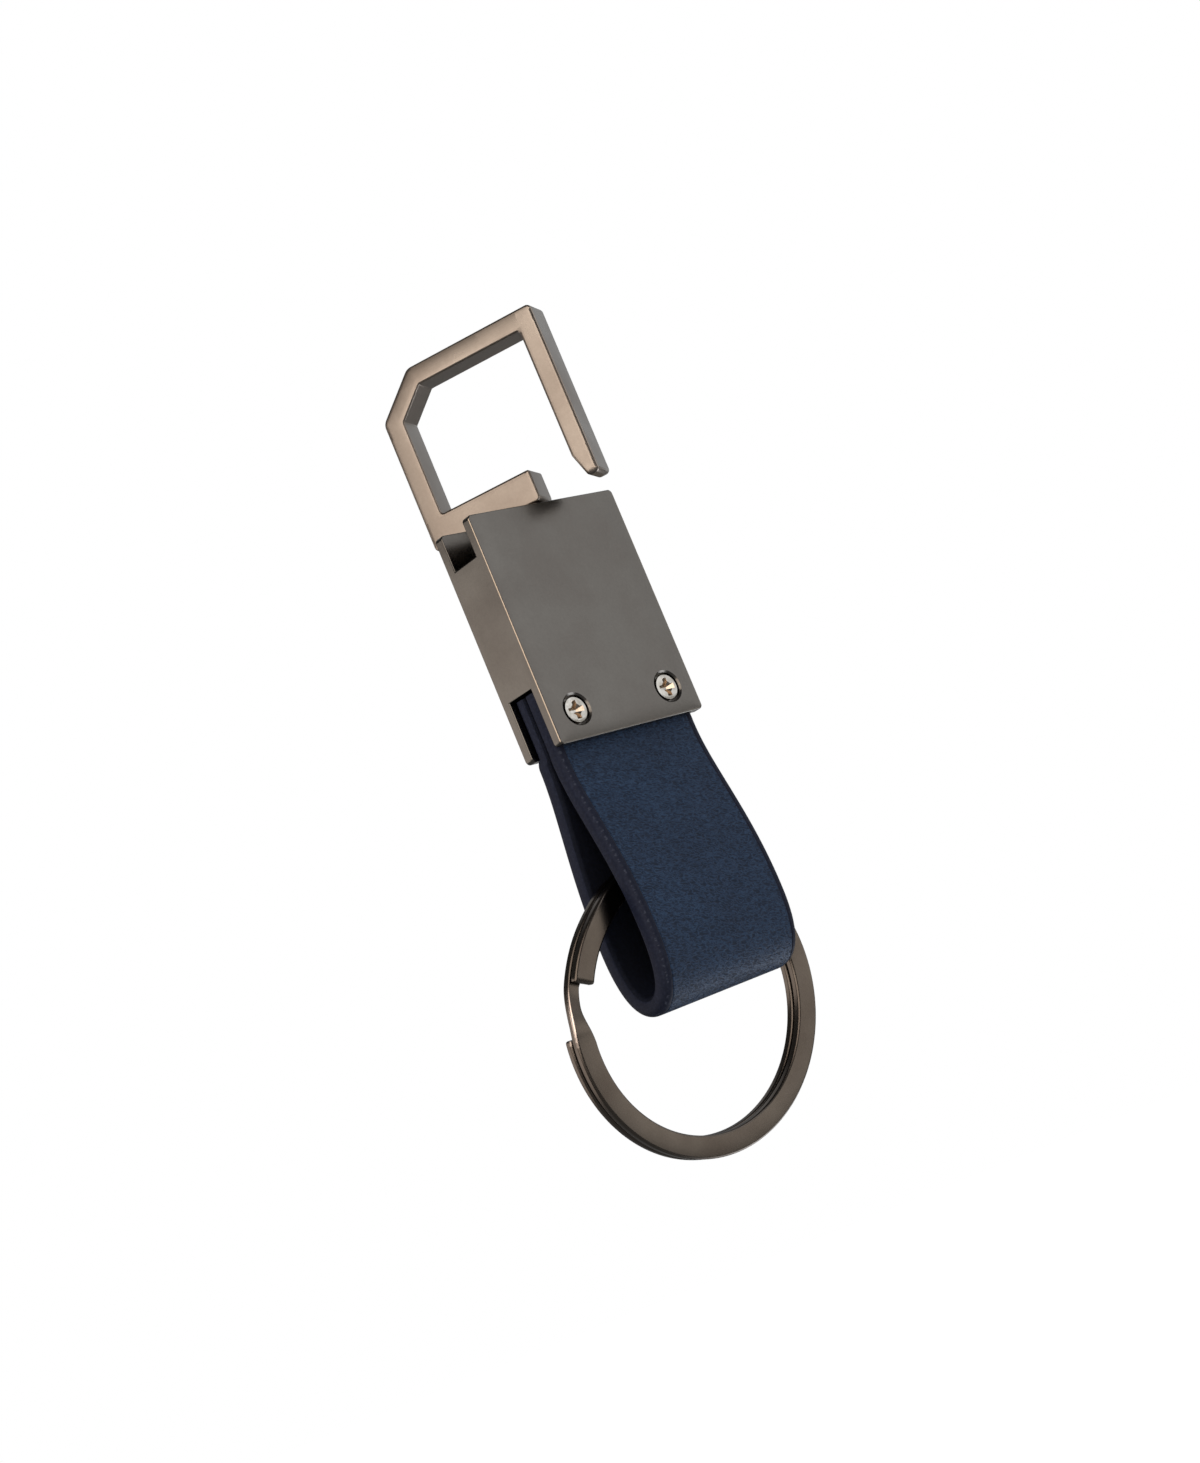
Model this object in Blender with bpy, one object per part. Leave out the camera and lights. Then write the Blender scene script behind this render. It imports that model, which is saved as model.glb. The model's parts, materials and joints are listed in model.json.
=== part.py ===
"""A leather key chain: a pull-and-turn hook in a cast housing, a folded leather strap and a split ring.

The hook is a cast frame with an open mouth. Its foot carries a post that runs down through the
housing's bridge. A coil spring under the bridge pulls the hook down. Pulled up and turned, the hook is
open and rests on the top edges of the housing's two plates; turned back in line, it drops into the slot
between them and the mouth is closed. The part is modelled open, as it lies in the hand of someone who
is about to hang it up.

Frame, in metres: the origin is the middle of the hook's seat, the flat underside of its top bar.
+X runs across the hook to the limb that ends free, +Y runs through its thickness to the back, and +Z
runs up the post. Everything below the hook turns about the post, so it hangs from empties that stand
on the joint axes. In the housing's own frame -Y is the side with the two clamp screws.
"""
import math

import bmesh
import bpy
from mathutils import Matrix, Vector

MM = 0.001

# Clearances and cuts
SEAT_GAP = 0.15 * MM        # between pieces that are fixed to each other
RUN_GAP = 0.2 * MM          # between pieces that move past each other
CUT_OVERRUN = 1.0 * MM      # how far a cutter reaches past what it cuts
MERGE_DISTANCE = 0.001 * MM
ARC_STEP = math.radians(20)
ROUND_STEPS = 28            # facets round a small turned piece
SHARP_ANGLE = math.radians(35)

# Hook: a frame cut open at the lower right
HOOK_WIDTH = 20.4 * MM
HOOK_HEIGHT = 19.75 * MM
HOOK_THICKNESS = 3.8 * MM
HOOK_BAND = 2.25 * MM       # width of the limbs and of the top bar
HOOK_FOOT_HEIGHT = 3.6 * MM
HOOK_TOE_REACH = 13.2 * MM  # from the closed limb's outer side to the end of the foot
HOOK_SHOULDER_RUN = 4.8 * MM
HOOK_SHOULDER_RISE = 4.4 * MM
HOOK_SHOULDER_BAND = 2.12 * MM
HOOK_SHOULDER_RADIUS = 1.5 * MM
HOOK_CORNER_RADIUS = 0.7 * MM
HOOK_INNER_RADIUS = 0.35 * MM
HOOK_TIP_TAPER = 0.85 * MM
HOOK_TIP_TAPER_HEIGHT = 2.7 * MM
HOOK_EDGE_RADIUS = 0.4 * MM

# How the hook stands in the stored, open position
HOOK_REST_GAP = 0.15 * MM   # foot above the top edges of the plates
HOUSING_TURN = math.radians(60.5)

# Post, washer, nut and spring
POST_DIAMETER = 1.8 * MM
POST_SEAT_DEPTH = 2.0 * MM  # how deep the post sits in the foot
POST_CHAMFER = 0.15 * MM
THREAD_DIAMETER = 1.4 * MM
THREAD_OVERHANG = 0.25 * MM
NUT_FLATS = 3.0 * MM
NUT_HEIGHT = 1.2 * MM
NUT_EDGE = 0.12 * MM
WASHER_DIAMETER = 3.4 * MM
WASHER_THICKNESS = 0.4 * MM
SPRING_MEAN_DIAMETER = 2.8 * MM
SPRING_WIRE = 0.3 * MM
SPRING_LENGTH = 5.6 * MM    # over all, in the stored position
SPRING_TURNS = 7
SPRING_POINTS_PER_TURN = 10
SPRING_WIRE_RESOLUTION = 1

# Strap: one strip of leather folded into a drop-shaped loop, both ends in the lower slot
STRAP_WIDTH = 20.0 * MM
STRAP_THICKNESS = 1.75 * MM
STRAP_LEG_GAP = 0.1 * MM
STRAP_END_GAP = 0.3 * MM    # strap ends to the slot's ceiling
STRAP_FLAT_BELOW = 1.0 * MM # how far the legs stay together under the housing
STRAP_DROP = 29.15 * MM     # housing's lower edge to the bottom of the loop
LOOP_WIDTH = 8.3 * MM
LOOP_WIDEST_RISE = 8.4 * MM # widest place above the bottom of the loop
LOOP_LEAN = 0.3 * MM        # the loop bulges more to the screw side
LOOP_UPPER_SHARES = (0.27, 0.42)
LOOP_LOWER_SHARES = (0.58, 0.5)
LOOP_STEPS = 22
STRAP_EDGE = 0.2 * MM

# Housing: one casting, open in a slot at the top and in a slot at the bottom
STRAP_INSET = 0.35 * MM     # strap edges inside the housing's sides
HOUSING_HEIGHT = 26.0 * MM
FRONT_WALL = 1.3 * MM
BACK_WALL = 1.2 * MM
HOUSING_CORNER_RADIUS = 0.5 * MM
HOUSING_EDGE = 0.22 * MM
HOOK_SLOT_DEPTH = 4.2 * MM
HOOK_SLIDE_GAP = 0.1 * MM   # hook to plate, on each side, when it is down
BRIDGE_THICKNESS = 2.6 * MM
CHAMBER_DIAMETER = 3.9 * MM
STRAP_SLOT_DEPTH = 6.7 * MM
STRAP_SIDE_GAP = 0.2 * MM   # strap to plate

# Clamp screws
SCREW_SIDE_DISTANCE = 3.75 * MM
SCREW_EDGE_DISTANCE = 3.2 * MM
SCREW_HEAD_DIAMETER = 2.95 * MM
SCREW_HEAD_HEIGHT = 0.6 * MM
SCREW_HEAD_SINK = 0.35 * MM
SCREW_HEAD_ROUND = 0.15 * MM
SCREW_HEAD_GAP = 0.3 * MM
SCREW_SHANK_DIAMETER = 1.6 * MM
SCREW_BITE = 0.6 * MM       # length in the tapped hole of the back plate
RECESS_LENGTH = 1.9 * MM
RECESS_WIDTH = 0.45 * MM
RECESS_DEPTH = 0.35 * MM

# Split ring: flat wire, two turns with a step where one turn passes to the other
RING_DIAMETER = 32.0 * MM
RING_WIRE_WIDTH = 2.45 * MM
RING_WIRE_THICKNESS = 0.95 * MM
RING_COIL_GAP = 0.25 * MM
RING_WIRE_EDGE = 0.22 * MM
RING_FRONT_END_ANGLE = math.radians(156.5)
RING_STEP_ANGLE = math.radians(19)
RING_END_CLEARANCE_ANGLE = math.radians(1)
RING_TURN_STEPS = 58
RING_STEP_STEPS = 8
SWING_AXIS_BELOW_WIRE = 2.55 * MM

# How the ring lies in the loop, as shares of the room that it has there
RING_RISE_SHARE = 0.466
RING_FORWARD_SHARE = 0.14
RING_SIDE_SHARE = -0.73
RING_TILT_SHARE = 0.603
RING_TWIST_SHARE = 0.532

# Places that follow from the sizes
HOOK_TOP_Z = HOOK_BAND
HOOK_BOTTOM_Z = HOOK_TOP_Z - HOOK_HEIGHT
HOUSING_TOP_Z = HOOK_BOTTOM_Z - HOOK_REST_GAP
HOUSING_BOTTOM_Z = HOUSING_TOP_Z - HOUSING_HEIGHT
HOOK_SLOT_FLOOR_Z = HOUSING_TOP_Z - HOOK_SLOT_DEPTH
BRIDGE_UNDERSIDE_Z = HOOK_SLOT_FLOOR_Z - BRIDGE_THICKNESS
STRAP_SLOT_CEILING_Z = HOUSING_BOTTOM_Z + STRAP_SLOT_DEPTH
HOOK_SLOT_THICKNESS = HOOK_THICKNESS + 2 * HOOK_SLIDE_GAP
HOUSING_WIDTH = STRAP_WIDTH + 2 * STRAP_INSET
SCREW_SPACING = HOUSING_WIDTH - 2 * SCREW_SIDE_DISTANCE
STRAP_STACK = 2 * STRAP_THICKNESS + STRAP_LEG_GAP
STRAP_SLOT_THICKNESS = STRAP_STACK + 2 * STRAP_SIDE_GAP
HOUSING_FRONT_Y = -(HOOK_SLOT_THICKNESS / 2 + FRONT_WALL)
HOUSING_BACK_Y = HOOK_SLOT_THICKNESS / 2 + BACK_WALL
SPRING_TOP_Z = BRIDGE_UNDERSIDE_Z - SEAT_GAP
SPRING_BOTTOM_Z = SPRING_TOP_Z - SPRING_LENGTH
WASHER_TOP_Z = SPRING_BOTTOM_Z - SEAT_GAP
WASHER_BOTTOM_Z = WASHER_TOP_Z - WASHER_THICKNESS
NUT_TOP_Z = WASHER_BOTTOM_Z - RUN_GAP
NUT_BOTTOM_Z = NUT_TOP_Z - NUT_HEIGHT
POST_SHOULDER_Z = NUT_TOP_Z + SEAT_GAP
SCREW_Z = HOUSING_BOTTOM_Z + SCREW_EDGE_DISTANCE
LOOP_BOTTOM_Z = HOUSING_BOTTOM_Z - STRAP_DROP
RING_OUTER_RADIUS = RING_DIAMETER / 2
RING_WIRE_RADIUS = RING_OUTER_RADIUS - RING_WIRE_WIDTH / 2
RING_COIL_PITCH = RING_WIRE_THICKNESS + RING_COIL_GAP
RING_INNER_RADIUS = RING_OUTER_RADIUS - RING_WIRE_WIDTH
LOOP_ROOM = LOOP_WIDTH - 2 * STRAP_THICKNESS
LOOP_TAPER = STRAP_DROP - STRAP_FLAT_BELOW - LOOP_WIDEST_RISE
RING_PLAY = (LOOP_ROOM - RING_COIL_PITCH - RING_WIRE_THICKNESS) / 2 - RUN_GAP
RING_WIRE_RISE = LOOP_WIDEST_RISE + RING_RISE_SHARE * LOOP_TAPER * math.sqrt(RING_PLAY / (LOOP_ROOM / 2))
RING_HALF_CHORD = math.sqrt(RING_INNER_RADIUS ** 2 - (RING_WIRE_RISE - RING_WIRE_RADIUS) ** 2)
RING_SIDE = RING_SIDE_SHARE * (RING_HALF_CHORD - STRAP_WIDTH / 2)
RING_EXIT_REACH = STRAP_WIDTH / 2 + RING_SIDE
RING_EXIT_DROP = RING_WIRE_RADIUS - math.sqrt(RING_INNER_RADIUS ** 2 - RING_EXIT_REACH ** 2)
RING_TILT = math.atan(RING_TILT_SHARE * RING_PLAY / RING_EXIT_DROP)
RING_TWIST = math.atan(RING_TWIST_SHARE * RING_PLAY / RING_EXIT_REACH)
RING_TURN = Matrix.Rotation(-RING_TWIST, 4, "Z") @ Matrix.Rotation(RING_TILT, 4, "X")
RING_WIRE_TOP = Vector((0, -LOOP_LEAN - RING_FORWARD_SHARE * RING_PLAY, LOOP_BOTTOM_Z + RING_WIRE_RISE))
RING_MIDDLE = RING_WIRE_TOP - RING_TURN @ Vector((0, 0, RING_WIRE_RADIUS))
RING_MIDDLE.x = RING_SIDE
SWING_AXIS = RING_WIRE_TOP - Vector((0, 0, SWING_AXIS_BELOW_WIRE))


def clear_scene():
    """Remove every object of the open scene."""
    for scene_object in list(bpy.data.objects):
        bpy.data.objects.remove(scene_object, do_unlink=True)


def metal_or_leather(name, colour, roughness, metallic):
    """Return a Principled material with the part's colour, roughness and metallic value."""
    material = bpy.data.materials.new(name)
    material.use_nodes = True
    shader = material.node_tree.nodes["Principled BSDF"]
    shader.inputs["Base Color"].default_value = (*colour, 1)
    shader.inputs["Roughness"].default_value = roughness
    shader.inputs["Metallic"].default_value = metallic
    return material


def add_empty(name, parent, matrix):
    """Add an empty that stands on a joint's axis, placed by a matrix in its parent's frame."""
    empty = bpy.data.objects.new(name, None)
    bpy.context.scene.collection.objects.link(empty)
    empty.parent = parent
    empty.matrix_local = matrix
    return empty


def add_piece(name, form, material, parent=None):
    """Turn a bmesh into an object with outward faces, smooth where its facets are round."""
    bmesh.ops.recalc_face_normals(form, faces=form.faces)
    mesh = bpy.data.meshes.new(name)
    form.to_mesh(mesh)
    form.free()
    mesh.shade_smooth()
    mesh.set_sharp_from_angle(angle=SHARP_ANGLE)
    piece = bpy.data.objects.new(name, mesh)
    bpy.context.scene.collection.objects.link(piece)
    piece.parent = parent
    if material:
        piece.data.materials.append(material)
    return piece


def add_bevel(piece, width, segments):
    """Round the sharp edges that a piece has so far."""
    bevel = piece.modifiers.new("rounded edges", "BEVEL")
    bevel.width = width
    bevel.segments = segments
    bevel.limit_method = "ANGLE"
    bevel.angle_limit = SHARP_ANGLE
    bevel.use_clamp_overlap = True


def cut(piece, name, form):
    """Cut a bmesh's shape out of a piece, in the piece's own frame."""
    cutter = add_piece(name, form, None, piece.parent)
    cutter.hide_render = True
    cutter.display_type = "WIRE"
    boolean = piece.modifiers.new(name, "BOOLEAN")
    boolean.operation = "DIFFERENCE"
    boolean.solver = "EXACT"
    boolean.object = cutter


def rounded_outline(corners):
    """Return the points of a closed outline whose corners (across, up, radius) are arcs."""
    points = []
    for index, (across, up, radius) in enumerate(corners):
        here = Vector((across, up))
        before = Vector(corners[index - 1][:2]) - here
        after = Vector(corners[(index + 1) % len(corners)][:2]) - here
        if radius <= 0:
            points.append(here)
            continue
        opening = before.angle(after)
        reach = radius / math.tan(opening / 2)
        start = here + before.normalized() * reach
        end = here + after.normalized() * reach
        centre = here + (before.normalized() + after.normalized()).normalized() * radius / math.sin(opening / 2)
        steps = max(2, round((math.pi - opening) / ARC_STEP))
        first, last = start - centre, end - centre
        turn = first.angle_signed(last)
        for step in range(steps + 1):
            angle = -turn * step / steps
            points.append(centre + Matrix.Rotation(angle, 2) @ first)
    return points


def plate(corners, front, back):
    """Return a plate: a rounded outline in the XZ plane, extruded along Y from front to back."""
    form = bmesh.new()
    vertices = [form.verts.new((point.x, front, point.y)) for point in rounded_outline(corners)]
    face = form.faces.new(vertices)
    extruded = bmesh.ops.extrude_face_region(form, geom=[face])["geom"]
    moved = [item for item in extruded if isinstance(item, bmesh.types.BMVert)]
    bmesh.ops.translate(form, verts=moved, vec=(0, back - front, 0))
    return form


def block(low, high):
    """Return a box between two corners."""
    form = bmesh.new()
    bmesh.ops.create_cube(form, size=1)
    size = Vector(high) - Vector(low)
    bmesh.ops.scale(form, vec=size, verts=form.verts)
    bmesh.ops.translate(form, vec=Vector(low) + size / 2, verts=form.verts)
    return form


def turned(profile, steps=ROUND_STEPS):
    """Return a piece turned about Z from (radius, z) points."""
    form = bmesh.new()
    vertices = [form.verts.new((radius, 0, up)) for radius, up in profile]
    edges = [form.edges.new(pair) for pair in zip(vertices, vertices[1:])]
    if profile[0][0] > 0:
        edges.append(form.edges.new((vertices[-1], vertices[0])))
    bmesh.ops.spin(form, geom=vertices + edges, axis=(0, 0, 1), cent=(0, 0, 0), angle=math.tau, steps=steps,
                   use_merge=True)
    bmesh.ops.remove_doubles(form, verts=form.verts, dist=MERGE_DISTANCE)
    return form


def rod(radius, bottom, top):
    """Return a round bar about Z between two heights."""
    return turned([(0, bottom), (radius, bottom), (radius, top), (0, top)])


def laid_along_y(form, x, z):
    """Lay a form that was made about Z along Y, its top towards the screw side, at a place."""
    turn = Matrix.Rotation(math.pi / 2, 4, "X")
    bmesh.ops.transform(form, matrix=Matrix.Translation((x, 0, z)) @ turn, verts=form.verts)
    return form


def hook_corners():
    """Return the hook's outline: outer side, tip, eye, mouth and toe."""
    left = -HOOK_WIDTH / 2
    right = HOOK_WIDTH / 2
    top, bottom = HOOK_TOP_Z, HOOK_BOTTOM_Z
    inner_left, inner_right = left + HOOK_BAND, right - HOOK_BAND
    inner_top = top - HOOK_BAND
    slope = math.hypot(HOOK_SHOULDER_RUN, HOOK_SHOULDER_RISE)
    inner_drop = (HOOK_SHOULDER_BAND * slope - HOOK_SHOULDER_RISE * HOOK_BAND) / HOOK_SHOULDER_RUN
    inner_run = (HOOK_SHOULDER_BAND * slope
                 + HOOK_SHOULDER_RUN * (HOOK_SHOULDER_RISE - HOOK_BAND)) / HOOK_SHOULDER_RISE
    toe = left + HOOK_TOE_REACH
    foot_top = bottom + HOOK_FOOT_HEIGHT
    return [
        (left, bottom, HOOK_CORNER_RADIUS),
        (left, top - HOOK_SHOULDER_RISE, HOOK_SHOULDER_RADIUS),
        (left + HOOK_SHOULDER_RUN, top, HOOK_SHOULDER_RADIUS),
        (right, top, HOOK_CORNER_RADIUS),
        (right, bottom, HOOK_INNER_RADIUS),
        (inner_right + HOOK_TIP_TAPER, bottom, HOOK_INNER_RADIUS),
        (inner_right, bottom + HOOK_TIP_TAPER_HEIGHT, HOOK_CORNER_RADIUS),
        (inner_right, inner_top, HOOK_INNER_RADIUS),
        (left + inner_run, inner_top, HOOK_INNER_RADIUS),
        (inner_left, top - HOOK_SHOULDER_RISE - inner_drop, HOOK_INNER_RADIUS),
        (inner_left, foot_top, HOOK_INNER_RADIUS),
        (toe, foot_top, HOOK_INNER_RADIUS),
        (toe, bottom, HOOK_CORNER_RADIUS),
    ]


def build_hook(material):
    """Build the hook's frame, with the blind hole for the post in its foot."""
    form = plate(hook_corners(), -HOOK_THICKNESS / 2, HOOK_THICKNESS / 2)
    hook = add_piece("hook", form, material)
    add_bevel(hook, HOOK_EDGE_RADIUS, 2)
    hole_top = HOOK_BOTTOM_Z + POST_SEAT_DEPTH + SEAT_GAP
    cut(hook, "post hole", rod(POST_DIAMETER / 2 + SEAT_GAP, HOOK_BOTTOM_Z - CUT_OVERRUN, hole_top))


def build_post(material):
    """Build the post: seated in the foot, a shoulder under the washer, then the thread for the nut."""
    radius = POST_DIAMETER / 2
    thread = THREAD_DIAMETER / 2
    top = HOOK_BOTTOM_Z + POST_SEAT_DEPTH
    end = NUT_BOTTOM_Z - THREAD_OVERHANG
    profile = [
        (0, top),
        (radius - POST_CHAMFER, top),
        (radius, top - POST_CHAMFER),
        (radius, POST_SHOULDER_Z),
        (thread, POST_SHOULDER_Z),
        (thread, end + POST_CHAMFER),
        (thread - POST_CHAMFER, end),
        (0, end),
    ]
    add_piece("hook_post", turned(profile), material)


def build_nut(material):
    """Build the hexagon nut that holds the washer and the spring on the post."""
    form = bmesh.new()
    bmesh.ops.create_cone(form, cap_ends=True, segments=6, radius1=NUT_FLATS / math.sqrt(3),
                          radius2=NUT_FLATS / math.sqrt(3), depth=NUT_HEIGHT)
    bmesh.ops.translate(form, vec=(0, 0, (NUT_TOP_Z + NUT_BOTTOM_Z) / 2), verts=form.verts)
    nut = add_piece("post_nut", form, material)
    add_bevel(nut, NUT_EDGE, 1)
    cut(nut, "nut thread", rod(THREAD_DIAMETER / 2 + SEAT_GAP, NUT_BOTTOM_Z - CUT_OVERRUN, NUT_TOP_Z + CUT_OVERRUN))


def build_washer(material, parent):
    """Build the thrust washer that the spring presses on the nut."""
    inner = POST_DIAMETER / 2 + RUN_GAP
    outer = WASHER_DIAMETER / 2
    profile = [(inner, WASHER_BOTTOM_Z), (outer, WASHER_BOTTOM_Z), (outer, WASHER_TOP_Z), (inner, WASHER_TOP_Z)]
    add_piece("thrust_washer", turned(profile), material, parent)


def spring_points():
    """Return the points along the middle of the spring's wire."""
    radius = SPRING_MEAN_DIAMETER / 2
    rise = (SPRING_LENGTH - SPRING_WIRE) / (SPRING_TURNS * SPRING_POINTS_PER_TURN)
    start = SPRING_BOTTOM_Z + SPRING_WIRE / 2
    points = []
    for index in range(SPRING_TURNS * SPRING_POINTS_PER_TURN + 1):
        angle = math.tau * index / SPRING_POINTS_PER_TURN
        points.append(Vector((radius * math.cos(angle), radius * math.sin(angle), start + rise * index)))
    return points


def least_gap(points, thickness, neighbours):
    """Return the least space between the surfaces of stretches of one wire."""
    middle = min((first - second).length for index, first in enumerate(points)
                 for second in points[index + neighbours:])
    return middle - thickness


def build_spring(material, parent):
    """Build the coil spring as one unbroken round wire."""
    points = spring_points()
    gap = least_gap(points, SPRING_WIRE, SPRING_POINTS_PER_TURN // 2)
    print(f"hook_spring: least gap of the wire to itself {gap / MM:.2f} mm")
    curve = bpy.data.curves.new("hook_spring", "CURVE")
    curve.dimensions = "3D"
    curve.bevel_depth = SPRING_WIRE / 2
    curve.bevel_resolution = SPRING_WIRE_RESOLUTION
    curve.use_fill_caps = True
    spline = curve.splines.new("POLY")
    spline.points.add(len(points) - 1)
    for target, point in zip(spline.points, points):
        target.co = (*point, 1)
    spring = bpy.data.objects.new("hook_spring", curve)
    bpy.context.scene.collection.objects.link(spring)
    spring.parent = parent
    curve.materials.append(material)


def build_housing(material, parent):
    """Build the cast housing: two plates joined by a block, with the slots, the bore and the screw seats."""
    half = HOUSING_WIDTH / 2
    corners = [(across, up, HOUSING_CORNER_RADIUS)
               for across, up in ((-half, HOUSING_BOTTOM_Z), (-half, HOUSING_TOP_Z),
                                  (half, HOUSING_TOP_Z), (half, HOUSING_BOTTOM_Z))]
    housing = add_piece("housing", plate(corners, HOUSING_FRONT_Y, HOUSING_BACK_Y), material, parent)
    add_bevel(housing, HOUSING_EDGE, 2)
    reach = half + CUT_OVERRUN
    cut(housing, "hook slot",
        block((-reach, -HOOK_SLOT_THICKNESS / 2, HOOK_SLOT_FLOOR_Z),
              (reach, HOOK_SLOT_THICKNESS / 2, HOUSING_TOP_Z + CUT_OVERRUN)))
    cut(housing, "strap slot",
        block((-reach, -STRAP_SLOT_THICKNESS / 2, HOUSING_BOTTOM_Z - CUT_OVERRUN),
              (reach, STRAP_SLOT_THICKNESS / 2, STRAP_SLOT_CEILING_Z)))
    bore = POST_DIAMETER / 2 + RUN_GAP
    chamber = CHAMBER_DIAMETER / 2
    profile = [
        (0, HOOK_SLOT_FLOOR_Z + CUT_OVERRUN),
        (bore, HOOK_SLOT_FLOOR_Z + CUT_OVERRUN),
        (bore, BRIDGE_UNDERSIDE_Z),
        (chamber, BRIDGE_UNDERSIDE_Z),
        (chamber, STRAP_SLOT_CEILING_Z - CUT_OVERRUN),
        (0, STRAP_SLOT_CEILING_Z - CUT_OVERRUN),
    ]
    cut(housing, "post bore", turned(profile))
    for side in (-1, 1):
        cut(housing, "screw seat", laid_along_y(turned(screw_seat_profile()), side * SCREW_SPACING / 2, SCREW_Z))


def screw_seat_profile():
    """Return the stepped hole for a clamp screw: counterbore, clearance hole, blind tapped hole."""
    head = SCREW_HEAD_DIAMETER / 2 + SCREW_HEAD_GAP
    shank = SCREW_SHANK_DIAMETER / 2
    face = -HOUSING_FRONT_Y
    head_floor = face - SCREW_HEAD_SINK - SCREW_HEAD_HEIGHT - SEAT_GAP
    tapped_start = -STRAP_SLOT_THICKNESS / 2
    tapped_end = tapped_start - SCREW_BITE - SEAT_GAP
    return [
        (0, face + CUT_OVERRUN),
        (head, face + CUT_OVERRUN),
        (head, head_floor),
        (shank + RUN_GAP, head_floor),
        (shank + RUN_GAP, 0),
        (shank + SEAT_GAP, 0),
        (shank + SEAT_GAP, tapped_end),
        (0, tapped_end),
    ]


def build_screw(name, side, material, parent):
    """Build a clamp screw: a low round head with a cross recess, and its shank."""
    head = SCREW_HEAD_DIAMETER / 2
    shank = SCREW_SHANK_DIAMETER / 2
    top = -HOUSING_FRONT_Y - SCREW_HEAD_SINK
    bottom = top - SCREW_HEAD_HEIGHT
    end = -STRAP_SLOT_THICKNESS / 2 - SCREW_BITE
    profile = [
        (0, top),
        (head - SCREW_HEAD_ROUND, top),
        (head, top - SCREW_HEAD_ROUND),
        (head, bottom),
        (shank, bottom),
        (shank, end + POST_CHAMFER),
        (shank - POST_CHAMFER, end),
        (0, end),
    ]
    place = (side * SCREW_SPACING / 2, SCREW_Z)
    screw = add_piece(name, laid_along_y(turned(profile), *place), material, parent)
    for turn in range(2):
        bar = block((-RECESS_LENGTH / 2, -RECESS_WIDTH / 2, top - RECESS_DEPTH),
                    (RECESS_LENGTH / 2, RECESS_WIDTH / 2, top + CUT_OVERRUN))
        bmesh.ops.transform(bar, matrix=Matrix.Rotation(turn * math.pi / 2, 4, "Z"), verts=bar.verts)
        cut(screw, f"{name} recess {turn}", laid_along_y(bar, *place))


def bezier(start, start_handle, end_handle, end, steps):
    """Return points along a cubic curve, without its first point."""
    points = []
    for step in range(1, steps + 1):
        t = step / steps
        s = 1 - t
        points.append(start * s ** 3 + start_handle * 3 * s * s * t + end_handle * 3 * s * t * t + end * t ** 3)
    return points


def strap_side(side):
    """Return one leg and half of the loop as (y, z) points: -1 is the screw side, 1 the back."""
    leg_y = side * (STRAP_LEG_GAP + STRAP_THICKNESS) / 2
    widest_y = side * (LOOP_WIDTH - STRAP_THICKNESS) / 2 - LOOP_LEAN
    top = Vector((leg_y, STRAP_SLOT_CEILING_Z - STRAP_END_GAP))
    parting = Vector((leg_y, HOUSING_BOTTOM_Z - STRAP_FLAT_BELOW))
    widest = Vector((widest_y, LOOP_BOTTOM_Z + LOOP_WIDEST_RISE))
    bottom = Vector((-LOOP_LEAN, LOOP_BOTTOM_Z + STRAP_THICKNESS / 2))
    upper, lower = LOOP_UPPER_SHARES, LOOP_LOWER_SHARES
    height = parting.y - widest.y
    drop = widest.y - bottom.y
    points = [top, parting]
    points += bezier(parting, parting - Vector((0, height * upper[0])), widest + Vector((0, height * upper[1])),
                     widest, LOOP_STEPS)
    points += bezier(widest, widest - Vector((0, drop * lower[0])),
                     bottom + Vector(((widest_y - bottom.x) * lower[1], 0)), bottom, LOOP_STEPS // 2)
    return points


def strap_middle():
    """Return the middle line of the strap from the front leg's end round to the back leg's end."""
    front = strap_side(-1)
    back = strap_side(1)
    return front + back[-2::-1]


def build_strap(material, parent):
    """Build the strap: a ribbon along its middle line, as wide as the strip, pierced for the two screws."""
    middle = strap_middle()
    form = bmesh.new()
    rows = []
    for index, point in enumerate(middle):
        before = middle[max(index - 1, 0)]
        after = middle[min(index + 1, len(middle) - 1)]
        along = (after - before).normalized()
        across = Vector((-along.y, along.x)) * STRAP_THICKNESS / 2
        rows.append([form.verts.new((-STRAP_WIDTH / 2, place.x, place.y)) for place in (point + across, point - across)])
    faces = [form.faces.new((upper[0], upper[1], lower[1], lower[0])) for upper, lower in zip(rows, rows[1:])]
    extruded = bmesh.ops.extrude_face_region(form, geom=faces)["geom"]
    moved = [item for item in extruded if isinstance(item, bmesh.types.BMVert)]
    bmesh.ops.translate(form, verts=moved, vec=(STRAP_WIDTH, 0, 0))
    strap = add_piece("strap", form, material, parent)
    add_bevel(strap, STRAP_EDGE, 1)
    reach = STRAP_SLOT_THICKNESS
    for side in (-1, 1):
        hole = rod(SCREW_SHANK_DIAMETER / 2 + RUN_GAP, -reach, reach)
        cut(strap, "strap hole", laid_along_y(hole, side * SCREW_SPACING / 2, SCREW_Z))


def wire_section():
    """Return the flat wire's cross-section (radius, y) with broken edges, at the front coil."""
    half_width = RING_WIRE_WIDTH / 2
    half_thickness = RING_WIRE_THICKNESS / 2
    edge = RING_WIRE_EDGE
    corners = []
    for across, along in ((-1, -1), (1, -1), (1, 1), (-1, 1)):
        outer = (across * half_width, along * (half_thickness - edge))
        inner = (across * (half_width - edge), along * half_thickness)
        corners += [outer, inner] if across == along else [inner, outer]
    return [(RING_WIRE_RADIUS + radial, axial - RING_COIL_PITCH / 2) for radial, axial in corners]


def eased(share):
    """Return a share of the way from one coil to the other, level at both ends."""
    return share * share * (3 - 2 * share)


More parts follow.
